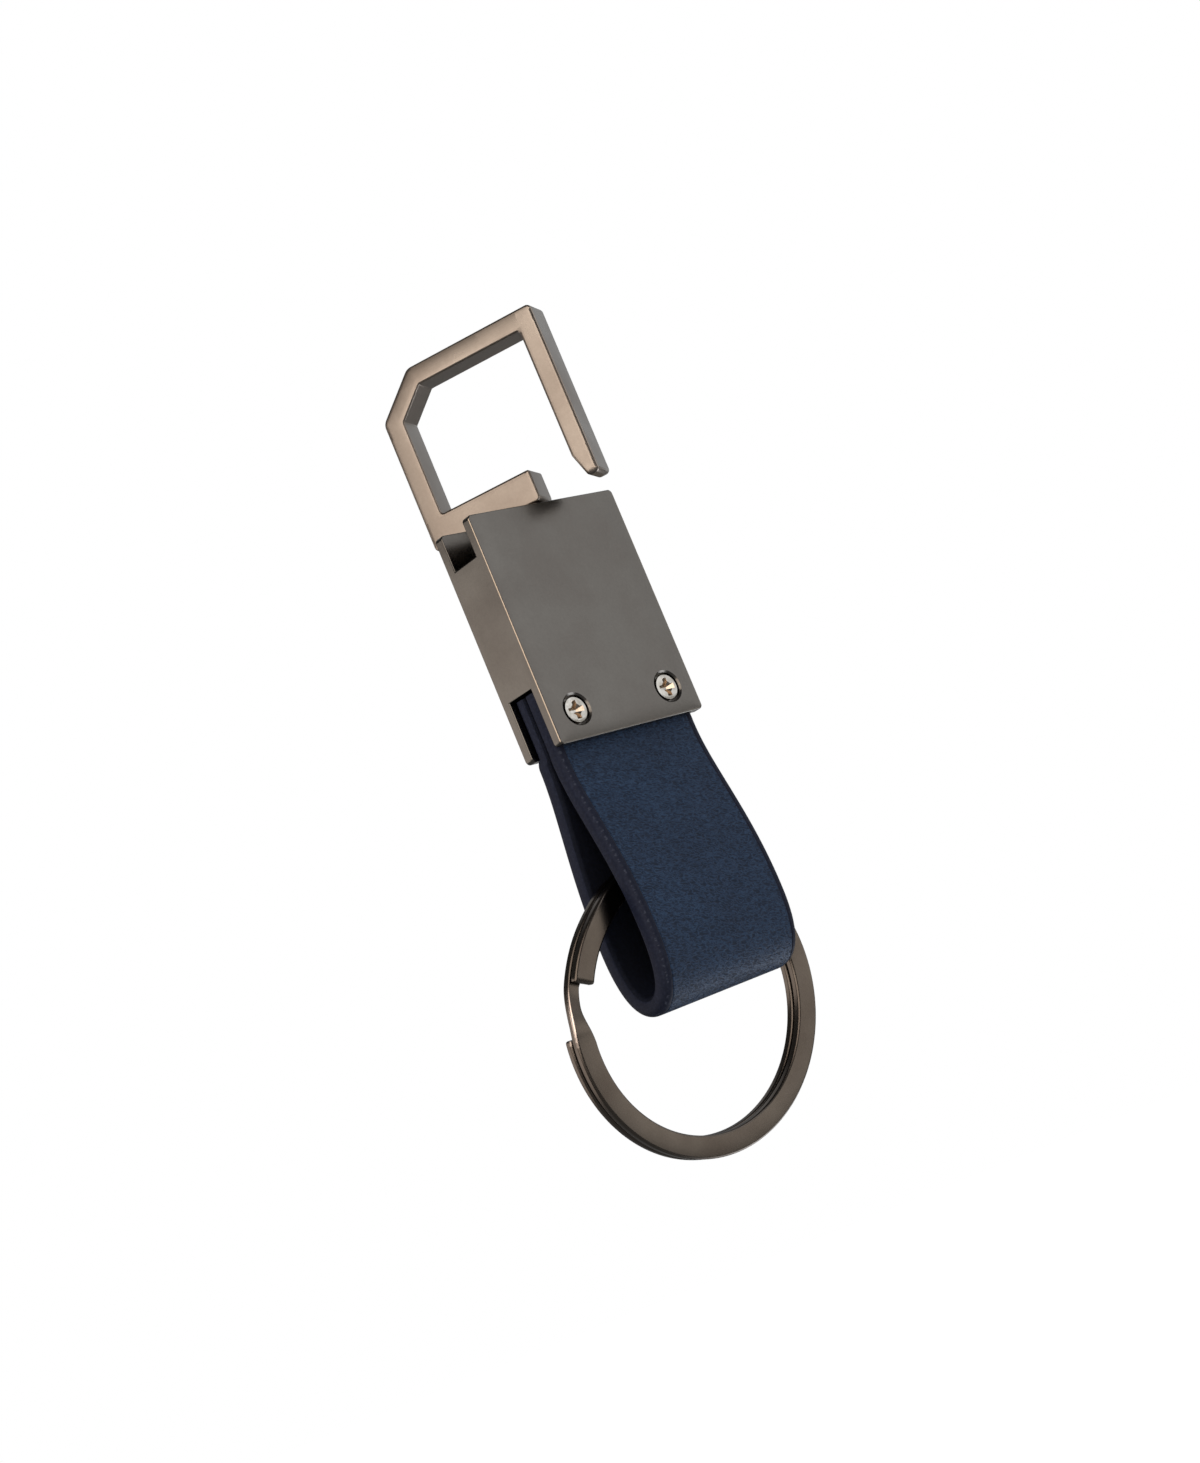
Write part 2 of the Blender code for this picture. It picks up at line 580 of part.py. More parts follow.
def build_ring(material, parent):
    """Build the split ring: one flat wire spun twice round, stepping from the front coil to the back.

    Its parent stands on the axis that the ring swings about.
    """
    form = bmesh.new()
    start = Matrix.Rotation(-RING_FRONT_END_ANGLE, 4, "Y")
    section = [start @ Vector((radius, axial, 0)) for radius, axial in wire_section()]
    face = form.faces.new([form.verts.new(point) for point in section])
    coil_angle = math.tau - RING_STEP_ANGLE - RING_END_CLEARANCE_ANGLE
    shares = [eased(step / RING_STEP_STEPS) for step in range(RING_STEP_STEPS + 1)]
    moves = [(coil_angle, 0, RING_TURN_STEPS)]
    moves += [(RING_STEP_ANGLE / RING_STEP_STEPS, later - earlier, 1) for earlier, later in zip(shares, shares[1:])]
    moves += [(coil_angle, 0, RING_TURN_STEPS)]
    last = [face]
    inner = []
    for angle, share, steps in moves:
        spun = bmesh.ops.spin(form, geom=last, axis=(0, 1, 0), cent=(0, 0, 0), angle=angle, steps=steps,
                              dvec=(0, share * RING_COIL_PITCH, 0))
        inner += last
        last = [item for item in spun["geom_last"] if isinstance(item, bmesh.types.BMFace)]
    bmesh.ops.delete(form, geom=[item for item in inner[1:] if item.is_valid], context="FACES_ONLY")
    place = Matrix.Translation(RING_MIDDLE - SWING_AXIS) @ RING_TURN
    bmesh.ops.transform(form, matrix=place, verts=form.verts)
    add_piece("split_ring", form, material, parent)


def build():
    """Build every piece of the key chain on its joint's axis."""
    clear_scene()
    hook_metal = metal_or_leather("satin hook zinc", (0.42, 0.36, 0.30), 0.34, 1)
    housing_metal = metal_or_leather("polished housing zinc", (0.17, 0.16, 0.15), 0.22, 1)
    steel = metal_or_leather("plain steel", (0.55, 0.55, 0.54), 0.3, 1)
    nickel = metal_or_leather("nickel screw", (0.66, 0.64, 0.59), 0.2, 1)
    leather = metal_or_leather("navy leather", (0.012, 0.023, 0.052), 0.6, 0)
    bronze = metal_or_leather("dark ring steel", (0.12, 0.10, 0.085), 0.25, 1)

    build_hook(hook_metal)
    build_post(steel)
    build_nut(steel)
    swivel = add_empty("swivel axis", None, Matrix.Rotation(HOUSING_TURN, 4, "Z"))
    build_washer(steel, swivel)
    build_spring(steel, swivel)
    build_housing(housing_metal, swivel)
    build_strap(leather, swivel)
    for name, side in (("clamp_screw_left", -1), ("clamp_screw_right", 1)):
        build_screw(name, side, nickel, swivel)
    swing = add_empty("swing axis", swivel, Matrix.Translation(SWING_AXIS))
    build_ring(bronze, swing)


build()
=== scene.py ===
"""A leather key chain with a pull-and-turn hook, dressed for its photograph.

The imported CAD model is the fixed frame. Each sub-assembly below is a class that holds its sizes, builds its
meshes and gives them their finish: the turning hook with its post and nut, the spring pack, the slotted
housing with its two clamp screws, the folded strap, and the split ring. The studio class makes the floor,
the lamps and the camera. Lengths are in metres, written as millimetres times MM.
"""
from __future__ import annotations

import json
import logging
import math
from dataclasses import dataclass
from enum import Enum
from typing import Any, Callable, Sequence

import bmesh
import bpy
from mathutils import Matrix, Vector


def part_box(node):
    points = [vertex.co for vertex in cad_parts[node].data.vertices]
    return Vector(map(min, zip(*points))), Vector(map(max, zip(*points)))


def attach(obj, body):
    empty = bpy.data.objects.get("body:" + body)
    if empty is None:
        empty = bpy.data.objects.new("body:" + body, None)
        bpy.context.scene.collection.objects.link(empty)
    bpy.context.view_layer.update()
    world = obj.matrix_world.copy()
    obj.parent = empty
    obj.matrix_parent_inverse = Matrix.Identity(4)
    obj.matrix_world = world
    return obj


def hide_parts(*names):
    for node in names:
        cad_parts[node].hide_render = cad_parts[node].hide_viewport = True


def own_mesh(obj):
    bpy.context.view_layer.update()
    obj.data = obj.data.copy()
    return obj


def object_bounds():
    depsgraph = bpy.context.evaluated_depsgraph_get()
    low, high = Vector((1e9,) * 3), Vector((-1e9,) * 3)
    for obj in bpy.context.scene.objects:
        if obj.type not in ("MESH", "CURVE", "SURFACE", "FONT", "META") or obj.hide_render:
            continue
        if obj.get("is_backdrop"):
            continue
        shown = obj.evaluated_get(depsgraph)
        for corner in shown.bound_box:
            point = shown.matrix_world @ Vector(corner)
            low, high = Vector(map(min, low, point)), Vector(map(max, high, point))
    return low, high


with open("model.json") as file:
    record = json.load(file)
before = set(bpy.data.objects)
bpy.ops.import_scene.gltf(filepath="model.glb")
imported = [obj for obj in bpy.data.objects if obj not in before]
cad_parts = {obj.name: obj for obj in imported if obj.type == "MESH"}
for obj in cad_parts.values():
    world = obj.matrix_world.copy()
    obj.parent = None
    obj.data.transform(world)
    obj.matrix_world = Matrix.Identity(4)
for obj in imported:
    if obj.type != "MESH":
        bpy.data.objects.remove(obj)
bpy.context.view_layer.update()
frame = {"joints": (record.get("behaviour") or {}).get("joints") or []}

MM = 0.001
MERGE_DISTANCE = 0.002 * MM
CUT_OVERRUN = 1.0 * MM
ARC_STEP = math.radians(9)
SHARP_ANGLE = math.radians(40)
SQUARE_ON = 0.99        # the least share of a direction that the normal of a face square to it has
LEANING = 0.1           # the same share for a face that only leans that way
HOLE_FACETS = 32
STOPS = "stops"
# Face layer and shader attribute of a finish's marked-face colour: painted shade on the hook and in the screw
# recesses, painted highlight on the housing and the ring, abraded chamfers on the steel nut.
WEAR_AND_PAINTED_LIGHT = "wear_and_painted_light"
SKIN = "skin"
LENGTH = "length"
BLEND = {"data_type": "RGBA"}
TINT = {"data_type": "RGBA", "blend_type": "MULTIPLY"}
MIX_A = 6               # the Mix node's colour sockets, by number because their names repeat
MIX_B = 7
MIX_RESULT = 2

log = logging.getLogger("key_chain")

Place = tuple[float, float]
Corner = tuple[float, float, float]
Rgba = tuple[float, float, float, float]
Stop = tuple[float, str | float]


class Body(Enum):
    """The CAD bodies that pieces ride on."""

    HOOK = "hook"
    WASHER = "washer"
    HOUSING = "housing"
    RING = "ring"


class Slot(Enum):
    """The record's material slots."""

    HOOK_METAL = "hook_metal"
    HOUSING_METAL = "housing_metal"
    STEEL = "steel"
    LEATHER = "strap_leather"
    SCREW = "screw_nickel"
    RING_METAL = "ring_metal"


class Surface(Enum):
    """The strap's surfaces, by the number of their finish."""

    GRAIN = 0
    EDGE = 1
    FLESH = 2


def joint(name: str) -> dict[str, Any]:
    """Find one of the frame's joints.

    Args:
        name: The joint's name.

    Returns:
        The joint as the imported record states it.
    """
    return next(entry for entry in frame["joints"] if entry["name"] == name)


def housing_turn() -> Matrix:
    """Read how far the housing is turned under the hook, from the ring's swing axis across it."""
    across = joint("ring_swing")["axis"]
    return Matrix.Rotation(math.atan2(across[1], across[0]), 4, "Z")


def direction(azimuth: float, elevation: float) -> Vector:
    """Turn an azimuth, from the front to the right, and an elevation into a direction."""
    level = math.cos(elevation)
    return Vector((math.sin(azimuth) * level, -math.cos(azimuth) * level, math.sin(elevation)))


def clamped(value: float) -> float:
    """Hold a value between zero and one."""
    return min(1.0, max(0.0, value))


def eased(share: float) -> float:
    """Ease a share of the way, level at both ends."""
    return share * share * (3 - 2 * share)


def linear(colour: str) -> Rgba:
    """Turn an sRGB hex colour into a linear one.

    Args:
        colour: Six hex digits after a hash sign.

    Returns:
        Red, green, blue and an alpha of one.
    """
    channels = [int(colour[start:start + 2], 16) / 255 for start in (1, 3, 5)]
    red, green, blue = (c / 12.92 if c <= 0.04045 else ((c + 0.055) / 1.055) ** 2.4 for c in channels)
    return red, green, blue, 1.0


def set_stops(colours: bpy.types.ColorRamp, stops: Sequence[Stop]) -> None:
    """Lay the stops of a colour ramp.

    Args:
        colours: The ramp.
        stops: Positions, each with an sRGB colour or with the brightness of a grey.
    """
    while len(colours.elements) < len(stops):
        colours.elements.new(0.5)
    for element, (position, tone) in zip(colours.elements, stops):
        element.position = position
        element.color = linear(tone) if isinstance(tone, str) else (tone, tone, tone, 1.0)


def feed(tree: bpy.types.NodeTree, node: bpy.types.Node, inputs: dict[str | int, Any]) -> None:
    """Set a node's inputs.

    Args:
        tree: The nodes that it belongs to.
        node: The node.
        inputs: Values or output sockets by input name or number.
    """
    for name, value in inputs.items():
        if isinstance(value, bpy.types.NodeSocket):
            tree.links.new(value, node.inputs[name])
        else:
            node.inputs[name].default_value = value


def add_node(
    tree: bpy.types.NodeTree,
    kind: str,
    settings: dict[str, Any] | None = None,
    inputs: dict[str | int, Any] | None = None,
) -> bpy.types.Node:
    """Add a node with its settings, input values and links.

    Args:
        tree: The material's or the world's nodes.
        kind: The node's type name.
        settings: Properties of the node, and the stops of a ramp.
        inputs: Values or output sockets by input name or number.

    Returns:
        The new node.
    """
    node = tree.nodes.new(kind)
    for name, value in (settings or {}).items():
        if name == STOPS:
            set_stops(node.color_ramp, value)
        else:
            setattr(node, name, value)
    feed(tree, node, inputs or {})
    return node


def new_material(name: str) -> tuple[bpy.types.Material, bpy.types.NodeTree, bpy.types.Node]:
    """Make a material with its Principled shader.

    Args:
        name: The material's name.

    Returns:
        The material, its nodes and the shader node.
    """
    material = bpy.data.materials.new(name)
    material.use_nodes = True
    tree = material.node_tree
    return material, tree, tree.nodes["Principled BSDF"]


@dataclass(frozen=True)
class PlatedMetal:
    """Nickel or bronze plate on a zinc casting or on steel, polished or blasted before it was plated.

    To the eye it is a tinted mirror whose blur comes from the blasting, with soft stains from handling.
    Marked faces take a colour of their own: painted shade on the hook and in the screw recesses, a painted
    highlight on the housing and the ring, both standing in for reflections, and a lighter colour on the steel
    nut's abraded chamfers.
    """

    name: str
    colour: str
    stain: str
    # colour of the marked faces: painted shade on the hook and screws, a painted highlight on the housing and
    # ring, abrasion on the steel nut
    wear_and_painted_light: str
    roughness: float
    stain_size: float = 7.0 * MM
    stain_span: Place = (0.35, 0.62)    # pattern values of a full stain and of clean plate
    speckle_size: float = 0.3 * MM      # drawn coarser than the real grit so that it shows
    speckle_share: float = 0.1
    speckle_stops: tuple[Stop, ...] = ((0.3, "#8c8c8c"), (0.7, "#ffffff"))
    blur_shares: Place = (1.2, 0.85)    # of the roughness, on a stain and on clean plate
    bump_strength: float = 0.6
    bump_height: float = 0.004 * MM

    def material(self) -> bpy.types.Material:
        """Build the finish's nodes.

        Returns:
            The material.
        """
        material, tree, shader = new_material(self.name)
        place = add_node(tree, "ShaderNodeTexCoord").outputs["Object"]
        stains = add_node(tree, "ShaderNodeTexNoise", inputs={
            "Vector": place, "Scale": 1 / self.stain_size, "Detail": 3.0, "Roughness": 0.55})
        speckles = add_node(tree, "ShaderNodeTexNoise", inputs={
            "Vector": place, "Scale": 1 / self.speckle_size, "Detail": 2.0, "Roughness": 0.6})
        plate = add_node(tree, "ShaderNodeValToRGB",
                         {STOPS: list(zip(self.stain_span, (self.stain, self.colour)))},
                         {"Fac": stains.outputs["Fac"]})
        grit = add_node(tree, "ShaderNodeValToRGB", {STOPS: self.speckle_stops}, {
            "Fac": speckles.outputs["Fac"]})
        speckled = add_node(tree, "ShaderNodeMix", TINT, {
            "Factor": self.speckle_share, MIX_A: plate.outputs["Color"], MIX_B: grit.outputs["Color"]})
        # Marked faces take the finish's painted light colour, which stands for abrasion only on the steel
        # nut.
        rim = add_node(tree, "ShaderNodeAttribute", {"attribute_name": WEAR_AND_PAINTED_LIGHT})
        wear_and_painted_light = add_node(tree, "ShaderNodeMix", BLEND, {
            "Factor": rim.outputs["Fac"], MIX_A: speckled.outputs[MIX_RESULT], MIX_B: linear(self.wear_and_painted_light)})
        blur = add_node(tree, "ShaderNodeMapRange", inputs={
            "Value": stains.outputs["Fac"], "From Min": 0.3, "From Max": 0.7,
            "To Min": self.roughness * self.blur_shares[0], "To Max": self.roughness * self.blur_shares[1]})
        bump = add_node(tree, "ShaderNodeBump", inputs={
            "Height": speckles.outputs["Fac"], "Strength": self.bump_strength,
            "Distance": self.bump_height})
        feed(tree, shader, {
            "Metallic": 1.0, "Base Color": wear_and_painted_light.outputs[MIX_RESULT], "Roughness": blur.outputs["Result"],
            "Normal": bump.outputs["Normal"]})
        return material


@dataclass(frozen=True)
class GrainLeather:
    """The grain side of a vegetable-tanned strap, dyed and rolled so that fine wrinkles run across it.

    The eye sees a dark, slightly silky surface, whose wrinkles catch the light in short wavy lines. Their
    crests carry a painted highlight and their troughs a painted shade, on top of the bump.
    """

    name: str = "navy grain leather"
    # crest is a painted highlight along the wrinkles' crests; the fall from high to low darkens towards the
    # troughs as painted shade.
    low: str = "#0e2036"
    high: str = "#142b46"
    crest: str = "#294361"
    high_start: float = 0.045           # steps down a wrinkle, in the pattern's own values
    low_start: float = 0.16
    low_end: float = 0.15
    wrinkle_pitch: float = 0.25 * MM
    wrinkle_length: float = 0.7 * MM
    wrinkle_slant: float = math.radians(17)
    cloud_size: float = 9.0 * MM
    cloud_stops: tuple[Stop, ...] = ((0.3, "#e2e2e6"), (0.75, "#ffffff"))
    roughness: float = 0.5
    crest_polish: float = 0.08
    low_blur: float = 0.1
    sheen: float = 0.22
    relief: float = 0.2 * MM
    relief_strength: float = 0.8

    def material(self) -> bpy.types.Material:
        """Build the finish's nodes on the strap's own map, which is in millimetres.

        Returns:
            The material.
        """
        material, tree, shader = new_material(self.name)
        flat = add_node(tree, "ShaderNodeTexCoord").outputs["UV"]
        slanted = add_node(tree, "ShaderNodeMapping", inputs={
            "Vector": flat, "Rotation": (0.0, 0.0, self.wrinkle_slant)})
        stretched = add_node(tree, "ShaderNodeMapping", inputs={
            "Vector": slanted.outputs["Vector"],
            "Scale": (MM / self.wrinkle_pitch, MM / self.wrinkle_length, 1.0)})
        wrinkles = add_node(tree, "ShaderNodeTexNoise", inputs={
            "Vector": stretched.outputs["Vector"], "Scale": 1.0, "Detail": 2.0, "Roughness": 0.5,
            "Distortion": 0.6})
        clouds = add_node(tree, "ShaderNodeTexNoise", inputs={
            "Vector": flat, "Scale": MM / self.cloud_size, "Detail": 2.0})
        away = add_node(tree, "ShaderNodeMath", {"operation": "SUBTRACT"}, {
            0: wrinkles.outputs["Fac"], 1: 0.5})
        depth = add_node(tree, "ShaderNodeMath", {"operation": "ABSOLUTE"}, {0: away.outputs[0]})
        # Painted light: the crest colour is a painted highlight, and the step down to low is painted shade in
        # the troughs.
        tone = add_node(tree, "ShaderNodeValToRGB", {
            STOPS: [(0.0, self.crest), (self.high_start, self.high), (self.low_start, self.low)]}, {
            "Fac": depth.outputs[0]})
        cloudy = add_node(tree, "ShaderNodeValToRGB", {STOPS: self.cloud_stops}, {
            "Fac": clouds.outputs["Fac"]})
        dyed = add_node(tree, "ShaderNodeMix", TINT, {
            "Factor": 1.0, MIX_A: tone.outputs["Color"], MIX_B: cloudy.outputs["Color"]})
        silk = add_node(tree, "ShaderNodeMapRange", inputs={
            "Value": depth.outputs[0], "From Min": 0.0, "From Max": self.low_end,
            "To Min": self.roughness - self.crest_polish, "To Max": self.roughness + self.low_blur})
        bump = add_node(tree, "ShaderNodeBump", {"invert": True}, {
            "Height": depth.outputs[0], "Strength": self.relief_strength, "Distance": self.relief})
        feed(tree, shader, {
            "Specular IOR Level": self.sheen, "Base Color": dyed.outputs[MIX_RESULT],
            "Roughness": silk.outputs["Result"], "Normal": bump.outputs["Normal"]})
        return material


@dataclass(frozen=True)
class FibreSide:
    """Leather without its grain: the painted cut edge, or the flesh side with its paint rubbed in.

    Paint fills most of the fibres, so that the eye sees a dull dark surface. Along the rim of the cut edge
    bare fibres stand out of the paint as small pale dashes.
    """

    name: str
    colour: str
    scuff: str
    bare: str
    fibre_size: float
    roughness: float
    scuff_start: float
    scuff_fade: float = 0.2
    scuff_end: float = 0.85
    rim_height: float = 0.74 * MM
    rim_half: float = 0.05 * MM
    rim_wobble: float = 0.4 * MM
    dash_length: float = 0.5 * MM
    dash_start: float = 0.52
    dash_fade: float = 0.08
    sheen: float = 0.12
    relief: float = 0.03 * MM
    relief_strength: float = 0.7

    def material(self) -> bpy.types.Material:
        """Build the finish's nodes.

        Returns:
            The material.
        """
        material, tree, shader = new_material(self.name)
        place = add_node(tree, "ShaderNodeTexCoord").outputs["Object"]
        fibres = add_node(tree, "ShaderNodeTexNoise", inputs={
            "Vector": place, "Scale": 1 / self.fibre_size, "Detail": 4.0, "Roughness": 0.65})
        tone = add_node(tree, "ShaderNodeValToRGB", {
            STOPS: [(self.scuff_start - self.scuff_fade, self.colour), (self.scuff_end, self.scuff)]}, {
            "Fac": fibres.outputs["Fac"]})
        skin = add_node(tree, "ShaderNodeAttribute", {"attribute_name": SKIN})
        length = add_node(tree, "ShaderNodeAttribute", {"attribute_name": LENGTH})
        wobble = add_node(tree, "ShaderNodeMath", {"operation": "MULTIPLY_ADD"}, {
            0: fibres.outputs["Fac"], 1: self.rim_wobble, 2: skin.outputs["Fac"]})
        rim = add_node(tree, "ShaderNodeMath", {"operation": "COMPARE"}, {
            0: wobble.outputs[0], 1: self.rim_height + self.rim_wobble / 2, 2: self.rim_half})
        dashes = add_node(tree, "ShaderNodeTexNoise", {"noise_dimensions": "1D"}, {
            "W": length.outputs["Fac"], "Scale": 1 / self.dash_length, "Detail": 2.0, "Roughness": 0.7})
        bared = add_node(tree, "ShaderNodeMapRange", inputs={
            "Value": dashes.outputs["Fac"], "From Min": self.dash_start,
            "From Max": self.dash_start + self.dash_fade})
        share = add_node(tree, "ShaderNodeMath", {"operation": "MULTIPLY"}, {
            0: rim.outputs[0], 1: bared.outputs["Result"]})
        colour = add_node(tree, "ShaderNodeMix", BLEND, {
            "Factor": share.outputs[0], MIX_A: tone.outputs["Color"], MIX_B: linear(self.bare)})
        bump = add_node(tree, "ShaderNodeBump", inputs={
            "Height": fibres.outputs["Fac"], "Strength": self.relief_strength, "Distance": self.relief})
        feed(tree, shader, {
            "Roughness": self.roughness, "Specular IOR Level": self.sheen,
            "Base Color": colour.outputs[MIX_RESULT], "Normal": bump.outputs["Normal"]})
        return material


def rounded(corners: Sequence[Corner]) -> list[Vector]:
    """Round the corners of a closed outline.

    Args:
        corners: Across, up and radius of each corner. A radius of zero keeps the corner sharp.

    Returns:
        The outline's points.
    """
    points = []
    for index, (across, up, radius) in enumerate(corners):
        here = Vector((across, up))
        if radius <= 0:
            points.append(here)
            continue
        before = (Vector(corners[index - 1][:2]) - here).normalized()
        after = (Vector(corners[(index + 1) % len(corners)][:2]) - here).normalized()
        opening = before.angle(after)
        start = here + before * radius / math.tan(opening / 2)
        centre = here + (before + after).normalized() * radius / math.sin(opening / 2)
        first = start - centre
        turn = first.angle_signed(here + after * radius / math.tan(opening / 2) - centre)
        steps = max(2, round((math.pi - opening) / ARC_STEP))
        points += [centre + Matrix.Rotation(-turn * step / steps, 2) @ first for step in range(steps + 1)]
    return points


def distance_to_line(point: Vector, corners: Sequence[Vector]) -> float:
    """Measure how far a point lies from an open line of straight parts.

    Args:
        point: The point.
        corners: The line's corners and ends.

    Returns:
        The distance to the nearest part.
    """
    nearest = math.inf
    for start, end in zip(corners, corners[1:]):
        side = end - start
        share = clamped((point - start).dot(side) / side.length_squared)
        nearest = min(nearest, (point - start - side * share).length)
    return nearest


def bezier(start: Vector, leave: Vector, arrive: Vector, end: Vector, steps: int) -> list[Vector]:
    """Sample a cubic curve.

    Args:
        start: The curve's first point.
        leave: The handle that it leaves towards.
        arrive: The handle that it arrives from.
        end: The curve's last point.
        steps: The number of samples.

    Returns:
        The samples, without the first point.
    """
    points = []
    for step in range(1, steps + 1):
        t = step / steps
        s = 1 - t
        points.append(start * s ** 3 + leave * 3 * s * s * t + arrive * 3 * s * t * t + end * t ** 3)
    return points


def thread(radius: float, depth: float, pitch: float, start: float, end: float) -> list[Place]:
    """Lay out the profile of a thread that runs down from a height.

    Args:
        radius: The radius of its crests.
        depth: The depth of its grooves.
        pitch: The height of a turn.
        start: The height where it starts.
        end: The height that it doesn't pass.

    Returns:
        Radius and height of its points, without the first crest.
    """
    profile = []
    for turn in range(int((start - end) / pitch)):
        crest = start - turn * pitch
        profile += [(radius - depth, crest - pitch / 2), (radius, crest - pitch)]
    return profile


def extruded(
    outline: Sequence[Vector], start: Vector, travel: Vector, place: Callable[[Vector], Vector]
) -> bmesh.types.BMesh:
    """Extrude a closed outline.

    Args:
        outline: The outline's points in its own plane.
        start: Where the outline stands along the extrusion.
        travel: How far and which way it is extruded.
        place: A function that puts an outline point into the solid's axes.

    Returns:
        The closed solid.
    """
    form = bmesh.new()
    face = form.faces.new([form.verts.new(place(point) + start) for point in outline])
    made = bmesh.ops.extrude_face_region(form, geom=[face])["geom"]
    moving = [item for item in made if isinstance(item, bmesh.types.BMVert)]
    bmesh.ops.translate(form, verts=moving, vec=travel)
    bmesh.ops.recalc_face_normals(form, faces=form.faces)
    return form


def turned(profile: Sequence[Place], steps: int = 64) -> bmesh.types.BMesh:
    """Turn a profile about Z.

    Args:
        profile: Radius and height of each point.
        steps: Facets round the piece.

    Returns:
        The closed solid.
    """
    form = bmesh.new()
    vertices = [form.verts.new((radius, 0, up)) for radius, up in profile]
    edges = [form.edges.new(pair) for pair in zip(vertices, vertices[1:])]
    if profile[0][0] > 0:
        edges.append(form.edges.new((vertices[-1], vertices[0])))
    bmesh.ops.spin(form, geom=vertices + edges, axis=(0, 0, 1), cent=(0, 0, 0), angle=math.tau, steps=steps,
                   use_merge=True)
    bmesh.ops.remove_doubles(form, verts=form.verts, dist=MERGE_DISTANCE)
    bmesh.ops.recalc_face_normals(form, faces=form.faces)
    return form


def rod(radius: float, low: float, high: float, steps: int = 64) -> bmesh.types.BMesh:
    """Turn a plain rod about Z, to cut a hole with."""
    return turned([(0, low), (radius, low), (radius, high), (0, high)], steps)


def box(low: Sequence[float], high: Sequence[float]) -> bmesh.types.BMesh:
    """Make a cutter between two corners.

    Args:
        low: The lowest corner.
        high: The highest corner.

    Returns:
        The closed box.
    """
    form = bmesh.new()
    bmesh.ops.create_cube(form, size=1)
    size = Vector(high) - Vector(low)
    bmesh.ops.scale(form, vec=size, verts=form.verts)
    bmesh.ops.translate(form, vec=Vector(low) + size / 2, verts=form.verts)
    return form


def moved(form: bmesh.types.BMesh, matrix: Matrix) -> bmesh.types.BMesh:
    """Move a whole form.

    Args:
        form: The form.
        matrix: The move.

    Returns:
        The same form.
    """
    bmesh.ops.transform(form, matrix=matrix, verts=form.verts)
    return form


def along_y(x: float, z: float) -> Matrix:
    """Lay a piece made about Z along Y, with its top to the screw side, at a place on the plate."""
    return Matrix.Translation((x, 0, z)) @ Matrix.Rotation(math.pi / 2, 4, "X")


def wear_and_light_layer(form: bmesh.types.BMesh) -> bmesh.types.BMLayerItem:
    """Get the layer that marks faces for their finish's painted light and abrasion colour, or add it."""
    layers = form.faces.layers.float
    return layers.get(WEAR_AND_PAINTED_LIGHT) or layers.new(WEAR_AND_PAINTED_LIGHT)


def soften(form: bmesh.types.BMesh, edges: list[bmesh.types.BMEdge], radius: float, segments: int) -> None:
    """Round edges and mark the rounds for the finish's marked-face colour, which paints light on the plated
    pieces and abrasion on the steel nut.

    Args:
        form: The form that the edges belong to.
        edges: The edges to round.
        radius: The round's offset.
        segments: Facets across the round.
    """
    made = bmesh.ops.bevel(form, geom=edges, offset=radius, segments=segments, profile=0.5, affect="EDGES",
                           material=-1, clamp_overlap=True)
    light_and_wear_marks = wear_and_light_layer(form)
    for face in made["faces"]:
        if face.is_valid:
            face[light_and_wear_marks] = 1.0


def score(form: bmesh.types.BMesh, faces: list[bmesh.types.BMFace], place: Vector, way: Vector) -> None:
    """Score a straight line across faces, so that they can bend there.

    Args:
        form: The form that the faces belong to.
        faces: The faces.
        place: A point of the plane that cuts the line.
        way: The plane's normal.
    """
    edges = dict.fromkeys(edge for face in faces for edge in face.edges)
    bmesh.ops.bisect_plane(form, geom=[*faces, *edges], plane_co=place, plane_no=way, dist=MERGE_DISTANCE)


def sharp_edges(form: bmesh.types.BMesh) -> list[bmesh.types.BMEdge]:
    """Pick the edges that turn by more than the sharp angle."""
    return [edge for edge in form.edges if edge.is_manifold and edge.calc_face_angle(0) > SHARP_ANGLE]


def as_object(name: str, form: bmesh.types.BMesh) -> bpy.types.Object:
    """Turn a form into a linked object.

    Args:
        name: The object's name.
        form: The form, which is freed.

    Returns:
        The object, at the origin.
    """
    mesh = bpy.data.meshes.new(name)
    form.to_mesh(mesh)
    form.free()
    made = bpy.data.objects.new(name, mesh)
    bpy.context.scene.collection.objects.link(made)
    return made


def cut(form: bmesh.types.BMesh, cutters: Sequence[bmesh.types.BMesh]) -> bmesh.types.BMesh:
    """Cut shapes out of a form.

    Args:
        form: The solid, which is freed.
        cutters: The solids to take away, which are freed.

    Returns:
        What is left.
    """
    solid = as_object("solid", form)
    tools = [as_object("cutter", cutter) for cutter in cutters]
    for tool in tools:
        boolean = solid.modifiers.new("cut", "BOOLEAN")
        boolean.operation = "DIFFERENCE"
        boolean.solver = "EXACT"
        boolean.object = tool
    evaluated = solid.evaluated_get(bpy.context.evaluated_depsgraph_get())
    left = bmesh.new()
    left.from_mesh(evaluated.data)
    for scrap in [solid, *tools]:
        bpy.data.objects.remove(scrap, do_unlink=True)
    return left


def add_piece(
    name: str,
    form: bmesh.types.BMesh,
    finishes: Sequence[bpy.types.Material],
    body: Body,
    node: str,
    even: bool = True,
) -> bpy.types.Object:
    """Make a finished piece that stands for a CAD node.

    Args:
        name: The piece's name.
        form: Its form in the row frame.
        finishes: Its materials, by the faces' material numbers.
        body: The CAD body that it rides on.
        node: The CAD node that it replaces.
        even: Whether large faces stay flat beside small rounds.

    Returns:
        The piece.
    """
    piece = as_object(name, form)
    piece.data.shade_smooth()
    piece.data.set_sharp_from_angle(angle=SHARP_ANGLE)
    for finish in finishes:
        piece.data.materials.append(finish)
    if even:
        weighted = piece.modifiers.new("even faces", "WEIGHTED_NORMAL")
        weighted.keep_sharp = True
    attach(piece, body.value)
    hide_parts(node)
    log.info("%s: %d faces, rides on %s", name, len(piece.data.polygons), body.value)
    return piece


